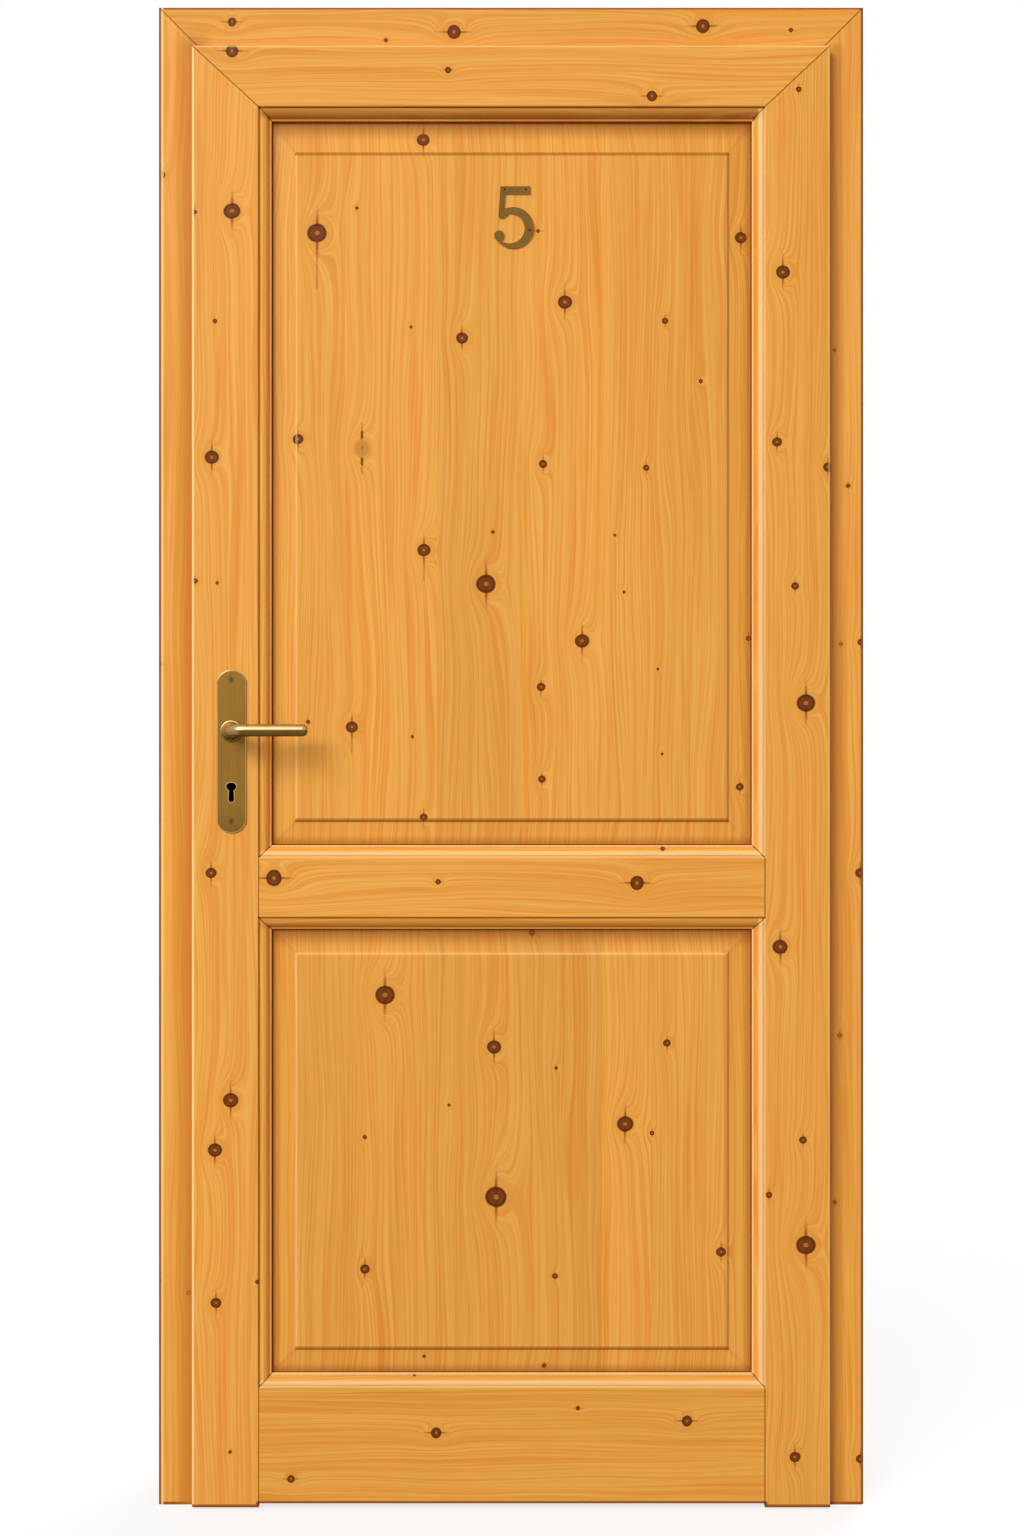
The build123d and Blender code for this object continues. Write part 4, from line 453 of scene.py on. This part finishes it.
# %% the pine finish
PINE_LIGHT = srgb(244, 177, 82)
PINE_LINE = srgb(229, 141, 44)
PINE_FLAME = srgb(222, 124, 28)
PINE_HALO = srgb(230, 150, 54)
KNOT_BROWN = srgb(112, 48, 2)
KNOT_RIM = srgb(78, 28, 0)
KNOT_EYE = srgb(208, 132, 56)
STREAK_BROWN = srgb(146, 74, 16)
SWAY, RIPPLE, BROAD = (20.0, 2.4), (60.0, 14.0), (9.0, 0.9)
LINES, HAIRS, FLAMES, PORES = (400.0, 1.6), (800.0, 5.0), (75.0, 3.0), (600.0, 5.0)
HALO_RIM, HEART_RIM, INSIDE_RIM = (0.05, 0.7), (0.68, 0.96), (1.1, 2.0)
IRIS_RIM, PUPIL_RIM, STREAK_EDGE = (8.0, 14.0), (23.0, 30.0), (0.22, 0.75)
LINE_EDGE, HAIR_EDGE, FLAME_EDGE = (0.42, 0.62), (0.38, 0.62), (0.58, 0.72)
LINE_SHARE, HAIR_SHARE, FLAME_SHARE, HALO_SHARE = 0.55, 0.25, 0.32, 0.4
STRIP_SHIFT, STRIP_TURN, STRIP_TONE, BROAD_TONE = 3.7, 2.399, 0.035, 0.14
SWAY_REACH, RIPPLE_REACH, DEPTH_SLOPE = 0.035, 0.0012, 0.6
KNOT_RIPPLE_ACROSS, KNOT_RIPPLE_ALONG = 0.0022, 0.0016


def pine(name, level, seed, tone=1.0, joints=(), strokes=()):
    """Varnished pine for one board. The grain runs along X on a level board and along Z on an upright one.
    Joints are the places across a panel where one glued strip ends and the next begins. Strokes are the
    lines of stain, painted shade and painted highlight that lie on it. A pattern's two numbers are its
    waves per metre, across the grain and along it."""
    material, start, shader, place = new_finish(f"pine_{name}")
    x, y, z = split(place)
    across, along = (z, x) if level else (x, z)

    strip = None
    for joint in joints:
        past = across.math("GREATER_THAN", joint)
        strip = past if strip is None else strip + past
    shift = strip * STRIP_SHIFT + seed if strip else seed

    def drawn(side, waves, detail):
        """Noise with its own waves per metre across and along the grain."""
        place_3 = {0: side * waves[0], 1: along * waves[1], 2: shift}
        return cloud(start, start.node("ShaderNodeCombineXYZ", {}, place_3), detail)

    sway = drawn(across, SWAY, 1.0) - 0.5
    ripple = drawn(across, RIPPLE, 1.0) - 0.5
    knots = knots_on_board(name, level) or [NO_KNOT]
    knot_across = across + ripple * KNOT_RIPPLE_ACROSS
    knot_along = along + ripple * KNOT_RIPPLE_ALONG
    lift, rim, streak = knot_fields(start, knot_across, knot_along, knots)
    flow = across + sway * SWAY_REACH + ripple * RIPPLE_REACH + lift + y * DEPTH_SLOPE

    lines = drawn(flow, LINES, 3.0).between(*LINE_EDGE)
    hairs = drawn(flow, HAIRS, 2.0).between(*HAIR_EDGE)
    flames = drawn(flow, FLAMES, 1.5).between(*FLAME_EDGE)
    broad = drawn(across, BROAD, 1.0) - 0.5

    halo, heart, inside = rim.between(*HALO_RIM), rim.between(*HEART_RIM), rim.between(*INSIDE_RIM)
    iris, pupil = rim.between(*IRIS_RIM), rim.between(*PUPIL_RIM)
    crack = streak.between(*STREAK_EDGE)

    wood = blend(start, lines * LINE_SHARE, PINE_LIGHT, PINE_LINE)
    wood = blend(start, hairs * HAIR_SHARE, wood, PINE_FLAME)
    wood = blend(start, flames * FLAME_SHARE, wood, PINE_FLAME)
    wood = blend(start, halo * HALO_SHARE, wood, PINE_HALO)
    strip_tone = (strip * STRIP_TURN).math("SINE") * STRIP_TONE if strip else 0.0
    light = broad * BROAD_TONE + tone + strip_tone
    grey = start.node("ShaderNodeCombineXYZ", {}, {0: light, 1: light, 2: light})
    wood = blend(start, 1.0, wood, grey, "MULTIPLY")
    wood = blend(start, crack * 0.85, wood, STREAK_BROWN)
    knot = blend(start, inside, KNOT_RIM, KNOT_BROWN)
    knot = blend(start, iris * 0.75, knot, KNOT_EYE)
    knot = blend(start, pupil * 0.6, knot, KNOT_BROWN)
    wood = blend(start, heart * 0.95, wood, knot)
    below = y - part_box(name)[0][1]
    flat = place.vector("MULTIPLY", (1.0, 0.0, 1.0))
    for first, second, (colour, strength, within, beyond, depth) in strokes:
        near = beside_line(flat, first, second).between(within, beyond, strength, 0.0)
        if depth < THROUGH:
            near = near * below.between(depth * 0.5, depth, 1.0, 0.0)
        wood = blend(start, near, wood, colour)
    feed(shader, "Base Color", wood)

    feed(shader, "Roughness", 0.4 + lines * 0.08 - heart * 0.04)
    shader.inputs["Specular IOR Level"].default_value = 0.1
    shader.inputs["Coat Weight"].default_value = 0.03
    shader.inputs["Coat Roughness"].default_value = 0.25
    height = drawn(across, PORES, 1.0)
    bump = start.node("ShaderNodeBump", {}, {"Strength": 0.12, "Distance": 0.0004, "Height": height})
    feed(shader, "Normal", bump)
    return material


def dress(node, material):
    """Give a solid one finish all over."""
    mesh = nodes[node].data
    mesh.materials.clear()
    mesh.materials.append(material)


# %% every board of the door: level, seed and tone
upper_joints = [seen_at(pixel, 500, PANEL_FACE)[0] for pixel in (345, 437, 522, 610, 690)]
lower_joints = [seen_at(pixel, 1150, PANEL_FACE)[0] for pixel in (363, 422, 602, 651)]
LEAF_BOARDS = {
    "lock_stile": (False, 1.3, 1.02), "hinge_stile": (False, 5.1, 0.965), "top_rail": (True, 2.2, 0.985),
    "middle_rail": (True, 7.7, 1.015), "bottom_rail": (True, 9.4, 0.965), "leaf_dowels": (True, 17.0, 1.0),
}
CASING_BOARDS = {
    "head_casing": (True, 3.9, 0.955), "lock_side_casing": (False, 6.5, 1.03),
    "hinge_side_casing": (False, 8.2, 0.985),
}
LINING_BOARDS = {
    "lock_jamb": (False, 11.5, 0.99), "hinge_jamb": (False, 12.6, 0.99), "head_jamb": (True, 13.1, 0.98),
    "rear_lock_casing": (False, 14.4, 1.0), "rear_hinge_casing": (False, 15.8, 1.0),
    "rear_head_casing": (True, 16.3, 1.0), "mitre_tongues": (False, 18.0, 0.98),
}
for boards, strokes in ((LEAF_BOARDS, leaf_strokes), (CASING_BOARDS, casing_strokes), (LINING_BOARDS, [])):
    for board, (level, seed, tone) in boards.items():
        dress(board, pine(board, level, seed, tone, strokes=strokes_on_board(board, strokes)))
dress("upper_panel", pine("upper_panel", False, 21.0, 0.98, upper_joints, panel_strokes[0]))
dress("lower_panel", pine("lower_panel", False, 24.0, 0.965, lower_joints, panel_strokes[1]))
print("boards dressed:", len(LEAF_BOARDS) + len(CASING_BOARDS) + len(LINING_BOARDS) + 2)

# %% [markdown]
# ## Aged brass
# The handle plate, lever and numeral are brass that has darkened evenly and was then brushed, so the
# colour clears a little in streaks along the brushing and stays dark in patches. Hands and cloths rub the
# plate bright next to the lever. The top of the lever is painted lighter as a highlight, and every bevelled
# edge is pale, as rubbed wear and as a painted highlight. A bright yellow metal with more roughness would
# look new. Patina here is a darker colour under a soft cloud.

# %% brass finish
PATINA_SPECK = srgb(70, 55, 30)


def brass(name, bright, dull, roughness, brushed=(500.0, 500.0, 9.0), rubbed_and_highlit=()):
    """Aged brass: a brushed grain, soft patches of patina, and a finer roughness where it is clear.
    Each rubbed or highlit place is a function of X, Y and Z that gives a mask, with the colour that it
    clears to: rubbed wear, or a painted highlight."""
    material, start, shader, place = new_finish(f"brass_{name}")
    grain = cloud(start, place.vector("MULTIPLY", brushed), detail=2.0)
    patches = cloud(start, place.vector("MULTIPLY", (26.0, 26.0, 20.0)), detail=3.0).between(0.35, 0.7)
    specks = cloud(start, place.vector("MULTIPLY", (700.0,) * 3), detail=1.0).between(0.62, 0.78)
    colour = blend(start, patches * 0.7, bright, dull)
    for mask, clear in rubbed_and_highlit:
        colour = blend(start, mask(*split(place)), colour, clear)
    colour = blend(start, grain.between(0.35, 0.7) * 0.2, colour, dull)
    colour = blend(start, specks * 0.25, colour, PATINA_SPECK)
    feed(shader, "Base Color", colour)
    feed(shader, "Roughness", roughness + patches * 0.12 + grain * 0.06)
    shader.inputs["Metallic"].default_value = 1.0
    height = grain + specks * -0.5
    bump = start.node("ShaderNodeBump", {}, {"Strength": 0.1, "Distance": 0.0002, "Height": height})
    feed(shader, "Normal", bump)
    return material


# %% where each brass piece is rubbed clear or painted with a highlight
SPINDLE_HEIGHT = 1.048
LEVER_RADIUS = 0.0085
LEVER_ROOT = -0.364
KEYHOLE_RIM = 0.0006
# The pale edge colour is rubbed wear and a painted highlight on bevels and edges.
EDGE_WEAR_AND_HIGHLIGHT = srgb(176, 146, 92)
EDGE_BEVEL = 0.0004


def off_the_face(face_y):
    """A mask of what lies off a piece's flat face: its bevels, its edges and a rim that stands proud."""
    return lambda x, y, z: (y - face_y).math("ABSOLUTE").between(EDGE_BEVEL * 0.5, EDGE_BEVEL)


def by_the_lever(x, y, z):
    """A mask that fades out upwards and downwards from the lever."""
    return (1 - (z - SPINDLE_HEIGHT).math("ABSOLUTE").between(0.09, 0.15)) * 0.85


def lever_top_highlight(x, y, z):
    """A mask of the lever's upper side, which is painted lighter as a highlight. It starts at the lever's
    middle line, and on the round root it comes in more slowly."""
    up = z - SPINDLE_HEIGHT
    root = 1 - x.between(LEVER_ROOT, LEVER_ROOT + LEVER_RADIUS)
    bar_mask = up.between(-0.1 * LEVER_RADIUS, 0.25 * LEVER_RADIUS)
    root_mask = up.between(-0.014, 0.012)
    return bar_mask * (1 - root) + root_mask * root


plate_colours = srgb(116, 86, 34), srgb(102, 76, 29)
beside_lever = (by_the_lever, srgb(136, 100, 42))
front_edge = (off_the_face(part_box("front_plate")[0][1] + KEYHOLE_RIM), EDGE_WEAR_AND_HIGHLIGHT)
rear_edge = (off_the_face(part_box("rear_plate")[1][1]), EDGE_WEAR_AND_HIGHLIGHT)
front_plate = brass("plate", *plate_colours, 0.36, rubbed_and_highlit=[beside_lever, front_edge])
rear_plate = brass("rear_plate", *plate_colours, 0.36, rubbed_and_highlit=[beside_lever, rear_edge])
# The lever's upper side is painted lighter as a highlight; the rest keeps the darker brass.
lever_highlight = [(lever_top_highlight, srgb(194, 165, 110))]
lever_brass = brass("lever", srgb(112, 84, 38), srgb(92, 68, 30), 0.24, (9.0, 500.0, 500.0), lever_highlight)
numeral_edges = [(off_the_face(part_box("numeral_five")[0][1]), EDGE_WEAR_AND_HIGHLIGHT)]
numeral_brass = brass("numeral", srgb(114, 86, 38), srgb(94, 70, 30), 0.34, rubbed_and_highlit=numeral_edges)
pin_brass = brass("pin", srgb(64, 46, 20), srgb(40, 30, 14), 0.4)
screw_brass = brass("screw", srgb(96, 82, 54), srgb(74, 66, 44), 0.34)
lock_brass = brass("lock", srgb(170, 134, 66), srgb(132, 100, 46), 0.34)
dress("front_plate", front_plate)
dress("rear_plate", rear_plate)
dress("numeral_five", numeral_brass)
for node in ("front_lever", "rear_lever", "lever_bushes"):
    dress(node, lever_brass)
dress("numeral_pins", pin_brass)
dress("plate_screws", screw_brass)
for node in ("lock_forend", "forend_screws", "strike_plate", "strike_screws", "hinge_washers"):
    dress(node, lock_brass)
print("brass pieces dressed")

# %% [markdown]
# ## Plated steel and rubber
# Hinges and lock parts only show when the leaf stands open. They are zinc-plated steel with a fine
# drawn grain and dull spots. The springs are blued, and the box of the lock is dark and oiled, so that the
# keyhole in front of it looks black. The seal in the stop is a soft brown rubber, slightly dusty.

# %% steel and rubber finishes
def steel(name, clear, dull, roughness):
    """Plated steel: a fine drawn grain along Z and cloudy spots in the plating."""
    material, start, shader, place = new_finish(f"steel_{name}")
    grain = cloud(start, place.vector("MULTIPLY", (900.0, 900.0, 30.0)), detail=2.0)
    spots = cloud(start, place.vector("MULTIPLY", (120.0,) * 3), detail=3.0).between(0.45, 0.7)
    colour = blend(start, spots * 0.6, clear, dull)
    feed(shader, "Base Color", colour)
    feed(shader, "Roughness", roughness + spots * 0.14 + grain * 0.08)
    shader.inputs["Metallic"].default_value = 1.0
    bump = start.node("ShaderNodeBump", {}, {"Strength": 0.08, "Distance": 0.0002, "Height": grain})
    feed(shader, "Normal", bump)
    return material


def seal_rubber():
    """Soft brown rubber: matt, with a fine grain and a little dust."""
    material, start, shader, place = new_finish("seal_rubber")
    dust = cloud(start, place.vector("MULTIPLY", (240.0, 240.0, 60.0)), detail=3.0)
    colour = blend(start, dust.between(0.4, 0.75) * 0.5, srgb(92, 60, 32), srgb(128, 92, 56))
    feed(shader, "Base Color", colour)
    feed(shader, "Roughness", 0.6 + dust * 0.25)
    bump = start.node("ShaderNodeBump", {}, {"Strength": 0.15, "Distance": 0.0003, "Height": dust})
    feed(shader, "Normal", bump)
    return material


plated = steel("plated", srgb(186, 186, 182), srgb(140, 140, 136), 0.3)
blued = steel("blued", srgb(96, 100, 108), srgb(66, 68, 74), 0.34)
oiled = steel("oiled", srgb(34, 32, 29), srgb(22, 20, 18), 0.5)
for node in ("lock_case", "lock_cover"):
    dress(node, oiled)
for node in ("cover_screws", "follower", "latch_bolt", "deadbolt", "spindle",
             "lever_grub_screws", "upper_hinge_bracket", "lower_hinge_bracket", "upper_hinge_arm",
             "lower_hinge_arm", "hinge_pins", "bracket_screws", "arm_screws", "lining_screws"):
    dress(node, plated)
for node in ("latch_spring", "follower_spring", "deadbolt_spring"):
    dress(node, blued)
rubber = seal_rubber()
for node in ("lock_side_seal", "hinge_side_seal", "head_seal"):
    dress(node, rubber)
print("steel and rubber dressed")

# %% [markdown]
# ## Floor, backdrop and light
# The photograph has plain white all round. The floor is pale and still takes the door's shadow, but most
# of what the camera sees of it is white, and the world is white to the camera and to reflections. A broad
# lamp high on the left gives the narrow shadow of the leaf on the right casing, the world fills in, and a
# second lamp behind lights the back of the door as well as the front.

# %% floor
FLOOR_REACH = 6.0
WHITE_SHARE, WHITE_FROM, WHITE_TO = 0.75, 0.7, 1.7


def white_rays(start):
    """1 for the rays that meet white: from the camera, off a gloss or through glass."""
    kinds = ("Is Camera Ray", "Is Glossy Ray", "Is Transmission Ray")
    seen, glossy, clear = (start.node("ShaderNodeLightPath", {}, {}, kind) for kind in kinds)
    return seen.math("MAXIMUM", glossy).math("MAXIMUM", clear)


def pale_floor():
    """A white floor that keeps some of its shadow: mostly white to the camera, wholly so further out, and
    a plain matt grey to all other rays."""
    material = bpy.data.materials.new("pale_floor")
    material.use_nodes = True
    tree = material.node_tree
    start = Field(tree)
    matt = tree.nodes["Principled BSDF"]
    matt.inputs["Roughness"].default_value = 0.9
    white = start.node("ShaderNodeEmission", {}, {"Color": (1, 1, 1, 1), "Strength": 1.0})
    seen = white_rays(start)
    feed(matt, "Base Color", blend(start, seen, (0.28, 0.28, 0.28, 1.0), (0.95, 0.95, 0.95, 1.0)))
    away = start.node("ShaderNodeTexCoord", {}, {}, "Object").vector("LENGTH", output="Value")
    share = seen * away.between(WHITE_FROM, WHITE_TO, WHITE_SHARE, 1.0)
    both = start.node("ShaderNodeMixShader", {}, {0: share, 1: Field(tree, matt.outputs[0]), 2: white})
    tree.links.new(both.socket, tree.nodes["Material Output"].inputs["Surface"])
    return material


corners = np.array([[-1, -1, 0], [1, -1, 0], [1, 1, 0], [-1, 1, 0]]) * FLOOR_REACH
floor_mesh = bpy.data.meshes.new("floor")
floor_mesh.from_pydata(corners.tolist(), [], [(0, 1, 2, 3)])
floor_mesh.materials.append(pale_floor())
floor = bpy.data.objects.new("floor", floor_mesh)
bpy.context.scene.collection.objects.link(floor)
print("floor laid, metres each way:", FLOOR_REACH)

# %% lamps and world
AMBIENT = 0.4
LIT_POINT = (0.0, 0.0, 1.0)
LAMP_SIZE = 13.0
world = bpy.data.worlds.new("studio")
bpy.context.scene.world = world
world.use_nodes = True
sky = Field(world.node_tree)
strength = white_rays(sky) * (1.0 - AMBIENT) + AMBIENT
sky_light = sky.node("ShaderNodeBackground", {}, {"Color": (1, 1, 1, 1), "Strength": strength})
world.node_tree.links.new(sky_light.socket, world.node_tree.nodes["World Output"].inputs["Surface"])


def lamp(name, place, target, size, watts):
    """A square soft lamp that points at a target."""
    data = bpy.data.lights.new(name, "AREA")
    data.size = size
    data.energy = watts
    made = bpy.data.objects.new(name, data)
    made.location = place
    made.rotation_euler = (Vector(target) - Vector(place)).to_track_quat("-Z", "Y").to_euler()
    made.visible_camera = False
    bpy.context.scene.collection.objects.link(made)


lamp("key_lamp", (-10.8, -17.2, 13.4), LIT_POINT, LAMP_SIZE, 4720)
lamp("back_lamp", (9.0, 17.0, 12.0), LIT_POINT, LAMP_SIZE, 3600)
bpy.context.scene.view_settings.view_transform = "Standard"
print("lamps set")
